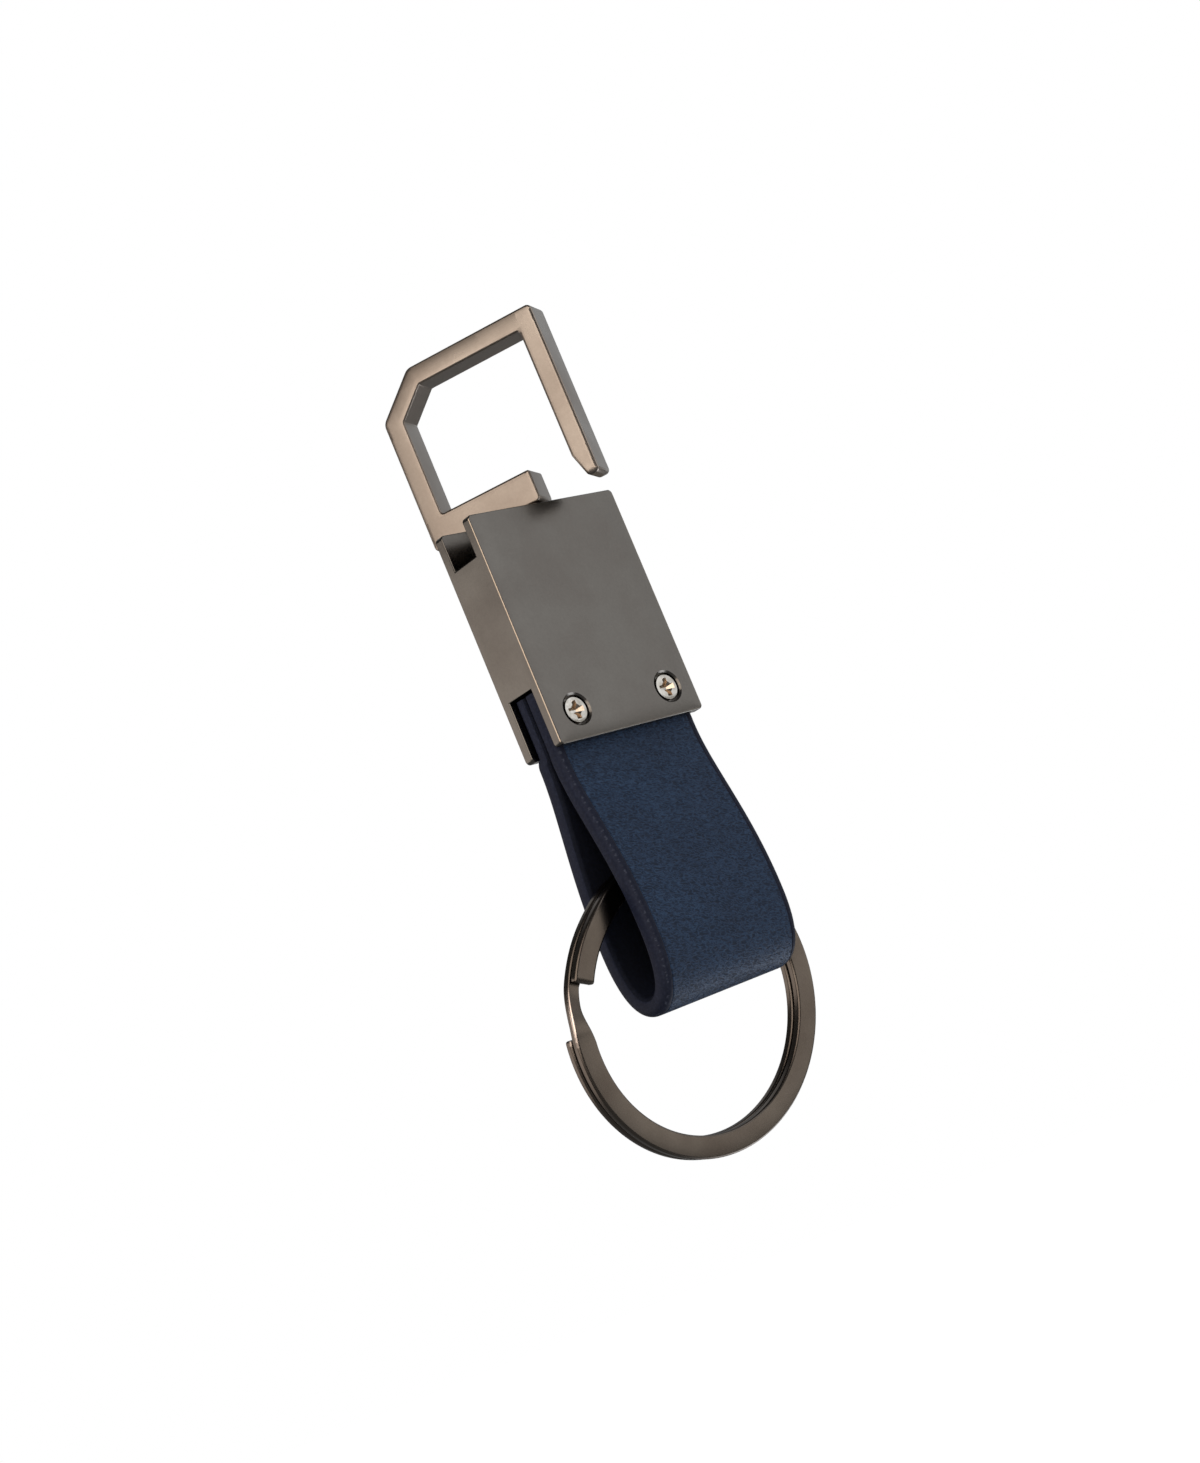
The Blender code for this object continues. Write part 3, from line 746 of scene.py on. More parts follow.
@dataclass
class TurnHook:
    """The open frame hook, the post fixed in its foot and the nut on the post's end."""

    band: float = 2.25 * MM
    foot_height: float = 3.6 * MM
    toe_reach: float = 13.2 * MM
    shoulder_run: float = 4.8 * MM
    shoulder_rise: float = 4.4 * MM
    shoulder_band: float = 2.12 * MM    # the band's width on the slant
    shoulder_radius: float = 1.3 * MM
    corner_radius: float = 0.6 * MM
    inner_radius: float = 0.3 * MM
    tip_taper: float = 0.85 * MM
    tip_taper_height: float = 2.7 * MM
    tip_radius: float = 0.7 * MM
    tip_corner: float = 0.5 * MM
    front_edge: float = 0.25 * MM
    back_edge: float = 0.2 * MM
    edge_segments: int = 4
    outer_sides: int = 5                # the outline's first sides, which fall off widely
    crown_steps: int = 6
    crown_depth: float = 0.14 * MM
    crown_width: float = 1.7 * MM
    inner_depth: float = 0.05 * MM
    inner_width: float = 0.6 * MM
    side_fall: float = 0.5              # shares of the crown below the bar and on the free limb
    limb_fall: float = 0.3
    front_facing: float = 0.9           # the least share of straight forward in the front's normals
    outer_tone: float = 0.4             # how much painted shade the front and its rims get, from zero to one
    rim_tone: float = 0.25
    rim_gain: float = 1.2
    inner_rim_tone: float = 0.35
    bar_reach: float = 2.7 * MM         # how far the bar and the limb reach in, with their inner rims
    tip_reach: float = 2.475 * MM
    tip_length: float = 1.1 * MM
    tip_thinning: float = 0.15
    post_depth: float = 2.0 * MM
    post_radius: float = 0.9 * MM
    thread_radius: float = 0.7 * MM
    thread_pitch: float = 0.3 * MM
    thread_depth: float = 0.09 * MM
    seat_gap: float = 0.15 * MM
    chamfer: float = 0.15 * MM
    # Its marked-face colour is painted shade, for the dark reflections on the rims, under the bar and along
    # the front's outer side.
    finish: PlatedMetal = PlatedMetal("satin warm nickel plate", "#a3998f", "#9b9086", "#38322c", 0.3,
                                      bump_height=0.002 * MM)
    steel: PlatedMetal = PlatedMetal("plain turned steel", "#b9b9b6", "#a5a5a3", "#cdcdca", 0.3)

    def __post_init__(self) -> None:
        """Read the outer sizes from the CAD nodes."""
        self.low, self.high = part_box("hook")
        self.post_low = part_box("hook_post")[0]
        self.nut_low, self.nut_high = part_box("post_nut")

    def outline(self) -> list[Corner]:
        """Lay out the frame: outer side, tip, eye, mouth and toe.

        Returns:
            Across, up and radius of each corner.
        """
        left, right, bottom, top = self.low.x, self.high.x, self.low.z, self.high.z
        inner_left, inner_right = left + self.band, right - self.band
        run, rise = self.shoulder_run, self.shoulder_rise
        slant = self.shoulder_band * math.hypot(run, rise)
        inner_drop = (slant - rise * self.band) / run
        inner_run = (slant + run * (rise - self.band)) / rise
        foot = bottom + self.foot_height
        toe = left + self.toe_reach
        return [
            (left, bottom, self.corner_radius),
            (left, top - rise, self.shoulder_radius),
            (left + run, top, self.shoulder_radius),
            (right, top, self.corner_radius),
            (right, bottom, self.tip_corner),
            (inner_right + self.tip_taper, bottom, self.tip_corner),
            (inner_right, bottom + self.tip_taper_height, self.tip_radius),
            (inner_right, top - self.band, self.inner_radius),
            (left + inner_run, top - self.band, self.inner_radius),
            (inner_left, top - rise - inner_drop, self.inner_radius),
            (inner_left, foot, self.inner_radius),
            (toe, foot, self.inner_radius),
            (toe, bottom, self.corner_radius),
        ]

    def frame_form(self) -> bmesh.types.BMesh:
        """Build the frame with soft rims and the blind hole for the post.

        Returns:
            The closed solid.
        """
        thickness = self.high.y - self.low.y
        form = extruded(rounded(self.outline()), Vector((0, self.low.y, 0)), Vector((0, thickness, 0)),
                        lambda point: Vector((point.x, 0, point.y)))
        for face_y, radius in ((self.low.y, self.front_edge), (self.high.y, self.back_edge)):
            rim = [edge for edge in form.edges
                   if all(abs(vertex.co.y - face_y) < MERGE_DISTANCE for vertex in edge.verts)]
            soften(form, rim, radius, self.edge_segments)
        self.crown(form)
        hole = rod(self.post_radius + self.seat_gap, self.low.z - CUT_OVERRUN,
                   self.low.z + self.post_depth + self.seat_gap)
        return cut(form, [hole])

    def crown(self, form: bmesh.types.BMesh) -> None:
        """Let the front face fall off, widely to its outer rim and narrowly to its inner one.

        Args:
            form: The frame with its rims rounded.
        """
        corners = [Vector(corner[:2]) for corner in self.outline()]
        for index, end in enumerate(corners):
            start = corners[index - 1]
            side = (end - start).normalized()
            inward = Vector((side.y, 0, -side.x))
            width = self.crown_width if index < self.outer_sides else self.inner_width
            for step in range(self.crown_steps):
                inset = self.front_edge + (width - self.front_edge) * (step + 1) / self.crown_steps
                faces = [face for face in form.faces if face.normal.y < -SQUARE_ON]
                score(form, faces, Vector((start.x, 0, start.y)) + inward * inset, inward)
        outer = [corners[-1], *corners[:self.outer_sides]]
        inner = corners[self.outer_sides - 1:]
        for vertex in form.verts:
            if vertex.co.y < self.low.y + self.front_edge + MERGE_DISTANCE:
                place = Vector((vertex.co.x, vertex.co.z))
                outer_share = clamped(distance_to_line(place, outer) / self.crown_width)
                inner_share = clamped(distance_to_line(place, inner) / self.inner_width)
                fall = self.crown_depth * (1 - outer_share) ** 2
                fall *= 1 - self.limb_share(vertex.co) * (1 - self.limb_fall)
                fall *= self.side_fall + (1 - self.side_fall) * self.bar_share(vertex.co)
                vertex.co.y += fall + self.inner_depth * (1 - inner_share) ** 2
        self.tone(form, outer, inner)
        for vertex in form.verts:
            past = 1 - (vertex.co.z - self.low.z) / self.tip_length
            if past > 0 and vertex.co.x > self.high.x - self.tip_reach:
                vertex.co.y *= 1 - self.tip_thinning * past ** 2

    def limb_share(self, place: Vector) -> float:
        """Tell how far a place is on the free limb: from zero, two bands inside its outer side, to one."""
        return clamped((place.x - self.high.x) / self.band + 2.0)

    def bar_share(self, place: Vector) -> float:
        """Tell how far a place is up the shoulder: from zero at its foot to one at the bar's top."""
        return clamped((place.z - self.high.z) / self.shoulder_rise + 1.0)

    def tone(self, form: bmesh.types.BMesh, outer: list[Vector], inner: list[Vector]) -> None:
        """Paint shade on the front: fully under the bar, much along the outer rims and little along the inner
        ones.

        Args:
            form: The crowned frame.
            outer: The corners of its outer side.
            inner: The corners of its inner side.
        """
        painted_shade = wear_and_light_layer(form)
        # Painted shade: the bar's underside fully, the rims by how far they turn away, less on the inner
        # rims, and the front near its outer side, fading inwards.
        for face in form.faces:
            place = face.calc_center_median()
            flat = Vector((place.x, place.z))
            at_bar = place.z > self.high.z - self.bar_reach
            if face[painted_shade] > 0 and face.normal.y < -LEANING:
                share = clamped(self.rim_tone + self.rim_gain * (1 + face.normal.y))
                face[painted_shade] = 1.0 if at_bar and face.normal.z < -LEANING else share
                if not at_bar and distance_to_line(flat, inner) < distance_to_line(flat, outer):
                    face[painted_shade] *= self.inner_rim_tone
            elif face.normal.y < -self.front_facing:
                share = clamped(distance_to_line(flat, outer) / self.crown_width)
                face[painted_shade] = self.outer_tone * (1 - share) * (1 - self.limb_share(place))
                face[painted_shade] *= self.bar_share(place)

    def post_form(self) -> bmesh.types.BMesh:
        """Turn the post, its shoulder and its thread.

        Returns:
            The closed solid.
        """
        top = self.low.z + self.post_depth
        shoulder = self.nut_high.z + self.seat_gap
        end = self.post_low.z
        radius, chamfer = self.post_radius, self.chamfer
        turns = thread(self.thread_radius, self.thread_depth, self.thread_pitch, shoulder, end + chamfer)
        return turned([(0, top), (radius - chamfer, top), (radius, top - chamfer), (radius, shoulder),
                       (self.thread_radius, shoulder), *turns, (self.thread_radius - chamfer, end),
                       (0, end)])

    def nut_form(self) -> bmesh.types.BMesh:
        """Build the hexagon nut with broken corners and its bore.

        Returns:
            The closed solid.
        """
        form = bmesh.new()
        radius = self.nut_high.x
        bmesh.ops.create_cone(form, cap_ends=True, segments=6, radius1=radius, radius2=radius,
                              depth=self.nut_high.z - self.nut_low.z)
        bmesh.ops.translate(form, vec=(0, 0, (self.nut_low.z + self.nut_high.z) / 2), verts=form.verts)
        soften(form, list(form.edges), self.chamfer / 2, segments=2)
        return cut(form, [rod(self.thread_radius + self.seat_gap, self.nut_low.z - CUT_OVERRUN,
                              self.nut_high.z + CUT_OVERRUN)])

    def build(self) -> None:
        """Make the hook's three pieces."""
        metal, steel = self.finish.material(), self.steel.material()
        add_piece("hook_frame", self.frame_form(), [metal], Body.HOOK, "hook")
        add_piece("hook_post_turned", self.post_form(), [steel], Body.HOOK, "hook_post")
        add_piece("hook_nut", self.nut_form(), [steel], Body.HOOK, "post_nut")


@dataclass
class SpringPack:
    """The coil spring round the post and the washer that it presses on the nut."""

    washer_bore: float = 1.1 * MM
    edge: float = 0.06 * MM
    wire: float = 0.3 * MM
    turns: int = 7
    steps_per_turn: int = 40
    wire_segments: int = 16
    finish: PlatedMetal = PlatedMetal("bright spring steel", "#aeb0b1", "#9b9d9e", "#c2c4c5", 0.22)

    def spring_form(self) -> bmesh.types.BMesh:
        """Spin the wire's round section up the coil.

        Returns:
            The closed solid.
        """
        low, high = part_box("hook_spring")
        form = bmesh.new()
        bmesh.ops.create_circle(form, cap_ends=True, segments=self.wire_segments, radius=self.wire / 2)
        start = Matrix.Translation((high.x - self.wire / 2, 0, low.z + self.wire / 2))
        moved(form, start @ Matrix.Rotation(math.pi / 2, 4, "X"))
        steps = self.turns * self.steps_per_turn
        rise = (high.z - low.z - self.wire) / steps
        bmesh.ops.spin(form, geom=list(form.faces), axis=(0, 0, 1), cent=(0, 0, 0),
                       angle=math.tau * self.turns, steps=steps, dvec=(0, 0, rise))
        bmesh.ops.recalc_face_normals(form, faces=form.faces)
        return form

    def washer_form(self) -> bmesh.types.BMesh:
        """Turn the washer with broken rims.

        Returns:
            The closed solid.
        """
        low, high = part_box("thrust_washer")
        outer, edge = high.x, self.edge
        return turned([(self.washer_bore, low.z), (outer - edge, low.z), (outer, low.z + edge),
                       (outer, high.z - edge), (outer - edge, high.z), (self.washer_bore, high.z)])

    def build(self) -> None:
        """Make the washer, and the spring on a mesh of its own; the real spring shortens as the housing is
        pulled down.
        """
        steel = self.finish.material()
        add_piece("spring_washer", self.washer_form(), [steel], Body.WASHER, "thrust_washer")
        spring = add_piece("coil_spring", self.spring_form(), [steel], Body.WASHER,
                           "hook_spring", even=False)
        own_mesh(spring)


@dataclass
class SlotHousing:
    """The cast housing and its two clamp screws, built square and then turned under the hook."""

    width: float = 20.7 * MM
    front: float = 3.3 * MM
    back: float = 3.2 * MM
    slot_half: float = 2.0 * MM
    hook_slot_depth: float = 4.2 * MM
    strap_slot_depth: float = 6.7 * MM
    bridge: float = 2.6 * MM
    bore_radius: float = 1.1 * MM
    chamber_radius: float = 1.95 * MM
    corner_radius: float = 0.5 * MM
    corner_segments: int = 8
    edge_radius: float = 0.13 * MM
    edge_segments: int = 3
    rolled_width: float = 2.2 * MM
    rolled_depth: float = 0.14 * MM
    rolled_steps: int = 6
    screw_spacing: float = 13.2 * MM
    screw_edge_distance: float = 3.2 * MM
    head_radius: float = 1.38 * MM
    head_gap: float = 0.28 * MM
    head_sink: float = 0.13 * MM
    head_height: float = 0.6 * MM
    head_dome: float = 0.03 * MM
    head_shares: tuple[Place, ...] = ((0.0, 0.0), (0.55, 0.3), (0.85, 1.0), (1.0, 2.2))  # out and down
    shank_radius: float = 0.8 * MM
    shank_gap: float = 0.2 * MM
    seat_gap: float = 0.15 * MM
    bite: float = 0.6 * MM
    lip: float = 0.19 * MM
    recess_length: float = 2.15 * MM
    recess_width: float = 0.6 * MM
    recess_depth: float = 0.7 * MM
    recess_taper: float = 0.4
    recess_middle: float = 0.66 * MM
    recess_rim: float = 0.075 * MM      # the top of the recess's walls, left out of the painted shade
    thread_pitch: float = 0.35 * MM
    thread_depth: float = 0.1 * MM
    # A darker copy of the hook's plate, as painted shade; its marked-face cream is a painted highlight on the
    # front's side rounds.
    finish: PlatedMetal = PlatedMetal("polished nickel plate darkened by painted shade", "#73706b", "#6f6b66", "#b2a596", 0.22)
    # Its marked-face colour is painted shade in the cross recess.
    nickel: PlatedMetal = PlatedMetal("bright nickel plate", "#d9d6ce", "#bdb8ae", "#c4b7a8", 0.16,
                                      stain_size=0.8 * MM, bump_height=0.012 * MM)

    def __post_init__(self) -> None:
        """Read the heights from the CAD node."""
        low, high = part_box("housing")
        self.bottom, self.top = low.z, high.z
        self.turn = housing_turn()

    def body_form(self) -> bmesh.types.BMesh:
        """Extrude the housing's side profile across its width and round its corners and edges.

        Returns:
            The closed solid, without its bore and screw holes.
        """
        floor, ceiling = self.top - self.hook_slot_depth, self.bottom + self.strap_slot_depth
        half = self.slot_half
        profile = [(-self.front, self.bottom), (-self.front, self.top), (-half, self.top), (-half, floor),
                   (half, floor), (half, self.top), (self.back, self.top), (self.back, self.bottom),
                   (half, self.bottom), (half, ceiling), (-half, ceiling), (-half, self.bottom)]
        form = extruded([Vector(point) for point in profile], Vector((-self.width / 2, 0, 0)),
                        Vector((self.width, 0, 0)), lambda point: Vector((0, point.x, point.y)))
        corners = [edge for edge in form.edges if self.is_plate_corner(edge)]
        soften(form, corners, self.corner_radius, self.corner_segments)
        soften(form, sharp_edges(form), self.edge_radius, self.edge_segments)
        # Painted highlight: the rounds along the front's two sides take the finish's light cream colour; all
        # other faces are cleared.
        light_and_wear_marks = wear_and_light_layer(form)
        for face in form.faces:
            middle = face.calc_center_median()
            is_front = middle.y < self.edge_radius - self.front
            is_side = abs(middle.x) > self.width / 2 - self.edge_radius
            is_round = max(abs(face.normal.x), abs(face.normal.y)) < SQUARE_ON
            face[light_and_wear_marks] = float(is_front and is_side and is_round)
        self.roll_front(form)
        return form

    def is_plate_corner(self, edge: bmesh.types.BMEdge) -> bool:
        """Tell whether an edge is an outer corner of a plate.

        Args:
            edge: An edge of the square body.

        Returns:
            Whether it runs through a plate at the housing's top or bottom.
        """
        first, second = (vertex.co for vertex in edge.verts)
        runs_through = abs(first.x - second.x) + abs(first.z - second.z) < MERGE_DISTANCE
        return runs_through and min(abs(first.z - self.top), abs(first.z - self.bottom)) < MERGE_DISTANCE

    def roll_front(self, form: bmesh.types.BMesh) -> None:
        """Let the front face fall off a little towards its sides and its lower rim, as polishing rolls it.

        Args:
            form: The body with its edges rounded.
        """
        ways = ((Vector((1, 0, 0)), self.width / 2), (Vector((-1, 0, 0)), self.width / 2),
                (Vector((0, 0, -1)), -self.bottom))
        for step in range(1, self.rolled_steps + 1):
            inset = self.edge_radius + self.rolled_width * (step / self.rolled_steps) ** 2
            for way, reach in ways:
                faces = [face for face in form.faces
                         if face.normal.y < -SQUARE_ON and face.verts[0].co.y < -self.slot_half]
                score(form, faces, way * (reach - inset), way)
        for vertex in form.verts:
            if vertex.co.y < self.edge_radius + MERGE_DISTANCE - self.front:
                share = clamped((self.depth_in_plate(vertex.co) - self.edge_radius) / self.rolled_width)
                vertex.co.y += self.rolled_depth * (1 - share) ** 2

    def depth_in_plate(self, point: Vector) -> float:
        """Measure how far a point lies inside a plate's rounded sides and lower rim.

        Args:
            point: A point of the front plate.

        Returns:
            The distance to the nearest side.
        """
        across = abs(point.x) - self.width / 2 + self.corner_radius
        down = self.bottom + self.corner_radius - point.z
        outside = math.hypot(max(across, 0), max(down, 0)) + min(max(across, down), 0)
        return self.corner_radius - outside

    def screw_seat(self) -> bmesh.types.BMesh:
        """Build the cutter of a stepped screw hole with a broken rim.

        Returns:
            The cutter about Z, with its rim on top.
        """
        head, top = self.head_radius + self.head_gap, self.front + CUT_OVERRUN
        clear, tapped = self.shank_radius + self.shank_gap, self.shank_radius + self.seat_gap
        floor = self.front - self.head_sink - self.head_height - self.seat_gap
        end = -self.slot_half - self.bite - self.seat_gap
        return turned([(0, top), (head + self.lip + CUT_OVERRUN, top), (head, self.front - self.lip),
                       (head, floor), (clear, floor), (clear, 0), (tapped, 0), (tapped, end), (0, end)])

    def screw_form(self) -> bmesh.types.BMesh:
        """Turn a low round-headed screw with a thread and cut its cross recess.

        Returns:
            The screw about Z, with its head on top.
        """
        top = self.front - self.head_sink
        under = top - self.head_height
        floor = top - self.recess_depth
        end = -self.slot_half - self.bite
        radius, shank, groove = self.head_radius, self.shank_radius, self.shank_radius - self.thread_depth
        form = turned([*((radius * out, top - self.head_dome * down) for out, down in self.head_shares),
                       (radius, under), (shank, under),
                       *thread(shank, self.thread_depth, self.thread_pitch, under, end),
                       (groove, end), (0, end)])
        cutters = []
        for quarter in range(2):
            wing = box((-self.recess_length / 2, -self.recess_width / 2, floor),
                       (self.recess_length / 2, self.recess_width / 2, top + self.head_dome))
            for vertex in wing.verts:
                if vertex.co.z < top:
                    vertex.co.x *= self.recess_taper
                    vertex.co.y *= self.recess_taper
            cutters.append(moved(wing, Matrix.Rotation(quarter * math.pi / 2, 4, "Z")))
        cone = [(0, floor), (self.recess_middle, top), (self.recess_middle, top + CUT_OVERRUN),
                (0, top + CUT_OVERRUN)]
        cutters.append(turned(cone, HOLE_FACETS))
        form = cut(form, cutters)
        # Painted shade: the walls and floor of the cross recess take the finish's darker, browner colour, all
        # but the top of the walls.
        light_and_wear_marks = wear_and_light_layer(form)
        for face in form.faces:
            place = face.calc_center_median()
            is_inside = math.hypot(place.x, place.y) < self.recess_length / 2
            face[light_and_wear_marks] = float(is_inside and floor < place.z < top - self.recess_rim)
        return form

    def build(self) -> None:
        """Make the casting and both screws."""
        floor, ceiling = self.top - self.hook_slot_depth, self.bottom + self.strap_slot_depth
        under = floor - self.bridge
        bore = turned([(0, floor + CUT_OVERRUN), (self.bore_radius, floor + CUT_OVERRUN),
                       (self.bore_radius, under), (self.chamber_radius, under),
                       (self.chamber_radius, ceiling - CUT_OVERRUN), (0, ceiling - CUT_OVERRUN)])
        height = self.bottom + self.screw_edge_distance
        sides = {"left": -self.screw_spacing / 2, "right": self.screw_spacing / 2}
        seats = [moved(self.screw_seat(), along_y(side, height)) for side in sides.values()]
        casting = moved(cut(self.body_form(), [bore, *seats]), self.turn)
        add_piece("housing_casting", casting, [self.finish.material()], Body.HOUSING,
                  "housing")
        nickel = self.nickel.material()
        for name, side in sides.items():
            screw = moved(self.screw_form(), self.turn @ along_y(side, height))
            add_piece(f"cross_screw_{name}", screw, [nickel], Body.HOUSING,
                      f"clamp_screw_{name}")


@dataclass
class FoldedStrap:
    """The strip of leather, folded into a drop-shaped loop with both ends in the housing's lower slot."""

    width: float = 20.0 * MM
    thickness: float = 1.75 * MM
    front_swell: float = 0.1 * MM
    back_swell: float = 0.5 * MM
    back_shift: float = 0.5 * MM
    leg_gap: float = 0.1 * MM
    end_gap: float = 0.3 * MM
    slot_depth: float = 6.7 * MM
    flat_below: float = 1.0 * MM
    loop_width: float = 8.3 * MM
    widest_rise: float = 8.4 * MM
    lean: float = 0.3 * MM
    side_lift: float = 0.35 * MM
    corner_lift: float = 0.5 * MM
    corner_power: int = 8
    upper_shares: Place = (0.27, 0.44)  # how far the curve's handles reach, above the loop's widest place
    lower_shares: Place = (0.74, 0.54)  # and below it
    spread_steps: int = 8
    upper_steps: int = 56
    lower_steps: int = 28
    edge_radius: float = 0.5 * MM
    edge_reach: float = 0.3 * MM
    grain_radius: float = 0.8 * MM
    crease_inset: float = 1.05 * MM
    crease_half: float = 0.1 * MM
    crease_depth: float = 0.07 * MM
    screw_spacing: float = 13.2 * MM
    screw_edge_distance: float = 3.2 * MM
    hole_radius: float = 1.0 * MM
    grain: GrainLeather = GrainLeather()
    edge_paint: FibreSide = FibreSide("dark edge paint", "#161a2a", "#272c3d", "#343845",
                                      0.3 * MM, 0.5, 0.66)
    lining: FibreSide = FibreSide("dyed flesh side", "#0a0e1a", "#161b2b", "#161b2b",
                                  0.4 * MM, 0.8, 0.6)

    def __post_init__(self) -> None:
        """Read the heights from the CAD nodes."""
        self.housing_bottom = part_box("housing")[0].z
        self.loop_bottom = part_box("strap")[0].z
        self.turn = housing_turn()

    def leg(self, side: int) -> list[tuple[Vector, float]]:
        """Lay out one leg and half of the loop.

        Args:
            side: -1 for the screw side, 1 for the back.

        Returns:
            Depth and height of points on the strap's middle line, each with the strap's thickness there.
            The leather is squeezed in the slot and swells below it, more so at the back.
        """
        swell = self.front_swell if side < 0 else self.back_swell
        shift = self.front_swell / 2 if side < 0 else self.back_shift
        bottom_swell = (self.front_swell + self.back_swell) / 2
        leg_y = side * (self.leg_gap + self.thickness) / 2
        widest_y = side * (self.loop_width - self.thickness) / 2 - self.lean + shift
        bottom_y = self.back_shift / 2 - self.lean
        top = Vector((leg_y, self.housing_bottom + self.slot_depth - self.end_gap))
        leaving = Vector((leg_y, self.housing_bottom - self.leg_gap))
        parting = Vector((leg_y + shift, self.housing_bottom - self.flat_below))
        widest = Vector((widest_y, self.loop_bottom + self.widest_rise))
        bottom = Vector((bottom_y, self.loop_bottom + (self.thickness + bottom_swell) / 2))
        fall, height, drop = leaving.y - parting.y, parting.y - widest.y, widest.y - bottom.y
        inward = widest_y - bottom.x
        spread = bezier(leaving, leaving - Vector((0, fall / 2)), parting + Vector((0, fall / 2)), parting,
                        self.spread_steps)
        upper = bezier(parting, parting - Vector((0, height * self.upper_shares[0])),
                       widest + Vector((0, height * self.upper_shares[1])), widest, self.upper_steps)
        lower = bezier(widest, widest - Vector((0, drop * self.lower_shares[0])),
                       bottom + Vector((inward * self.lower_shares[1], 0)), bottom, self.lower_steps)
        points = [(top, 0.0), (leaving, 0.0)]
        points += [(point, swell * (index + 1) / len(spread)) for index, point in enumerate(spread)]
        points += [(point, swell) for point in upper]
        points += [(point, swell + (bottom_swell - swell) * (index + 1) / len(lower))
                   for index, point in enumerate(lower)]
        return [(point, self.thickness + extra) for point, extra in points]

    def stations(self) -> list[tuple[float, Matrix]]:
        """Stand a section on each point of the middle line.

        Returns:
            The length so far and the section's place, from the front leg's end to the back leg's end.
        """
        middle = self.leg(-1) + self.leg(1)[-2::-1]
        length = 0.0
        made = []
        for index, (point, thickness) in enumerate(middle):
            before, after = middle[max(index - 1, 0)][0], middle[min(index + 1, len(middle) - 1)][0]
            way = (after - before).normalized()
            if index:
                length += (point - middle[index - 1][0]).length
            fat = thickness / self.thickness
            made.append((length, Matrix(((1, 0, 0, 0), (0, way.y * fat, way.x, point.x),
                                         (0, -way.x * fat, way.y, point.y), (0, 0, 0, 1)))))
        return made

    def section(self) -> list[Vector]:
        """Lay out the strip's section: domed edges, and a crease line near each edge of the grain side.

        Returns:
            The section's points, across and through the strip.
        """
        half, skin = self.width / 2, self.thickness / 2
        corners = [(-half, -skin, self.edge_radius), (-half, skin, self.grain_radius)]
        for side in (-1, 1):
            crease = side * (half - self.crease_inset)
            corners += [(crease - self.crease_half, skin, 0), (crease, skin - self.crease_depth, 0),
                        (crease + self.crease_half, skin, 0)]
        corners += [(half, skin, self.grain_radius), (half, -skin, self.edge_radius)]
        return rounded(corners)

    def form(self) -> bmesh.types.BMesh:
        """Draw the section along the strap, map it and sort its faces by side.

        Returns:
            The closed solid, with its length and depth kept for the finishes.
        """
        form = bmesh.new()
        length_layer = form.verts.layers.float.new(LENGTH)
        skin_layer = form.verts.layers.float.new(SKIN)
        stations = self.stations()
        ring = [form.verts.new((point.x, point.y, 0)) for point in self.section()]
        for vertex in ring:
            vertex[skin_layer] = vertex.co.y
        edges = [form.edges.new(pair) for pair in zip(ring, ring[1:] + ring[:1])]
        bmesh.ops.transform(form, matrix=stations[0][1], verts=ring)
        bmesh.ops.edgeloop_fill(form, edges=edges)
        for (_, last), (length, place) in zip(stations, stations[1:]):
            made = bmesh.ops.extrude_edge_only(form, edges=edges)["geom"]
            verts = [item for item in made if isinstance(item, bmesh.types.BMVert)]
            edges = [item for item in made if isinstance(item, bmesh.types.BMEdge) and item.is_boundary]
            bmesh.ops.transform(form, matrix=place @ last.inverted(), verts=verts)
            for vertex in verts:
                vertex[length_layer] = length
        bmesh.ops.edgeloop_fill(form, edges=edges)
        bmesh.ops.recalc_face_normals(form, faces=form.faces)
        flat = form.loops.layers.uv.new("strap map")
        for face in form.faces:
            height = sum(vertex[skin_layer] for vertex in face.verts) / len(face.verts)
            face.material_index = self.surface(height, abs(face.calc_center_median().x)).value
            for corner in face.loops:
                corner[flat].uv = (corner.vert[length_layer] / MM, corner.vert.co.x / MM)
        for vertex in form.verts:
            side = max(0.0, vertex.co.x / (self.width / 2))
            depth = clamped(1 - (vertex.co.z - self.loop_bottom) / self.widest_rise)
            vertex.co.z += depth * (self.side_lift * side + self.corner_lift * side ** self.corner_power)
        return form

    def surface(self, height: float, across: float) -> Surface:
        """Tell which side of the leather a face belongs to.

        Args:
            height: How far it lies from the strap's middle line, towards the grain.
            across: How far it lies from the strap's middle, to either edge.

        Returns:
            The side.
        """
        side_start = self.thickness / 2 - self.edge_reach
        if height < -side_start:
            return Surface.FLESH
        if height > side_start and across <= self.width / 2 - self.crease_inset:
            return Surface.GRAIN
        return Surface.EDGE

    def build(self) -> None:
        """Make the strap, pierced for the two clamp screws."""
        reach = self.thickness * 2
        height = self.housing_bottom + self.screw_edge_distance
        holes = [moved(rod(self.hole_radius, -reach, reach, HOLE_FACETS),
                       along_y(side * self.screw_spacing / 2, height)) for side in (-1, 1)]
        form = moved(cut(self.form(), holes), self.turn)
        finishes = [self.grain.material(), self.edge_paint.material(), self.lining.material()]
        add_piece("leather_strap", form, finishes, Body.HOUSING, "strap")


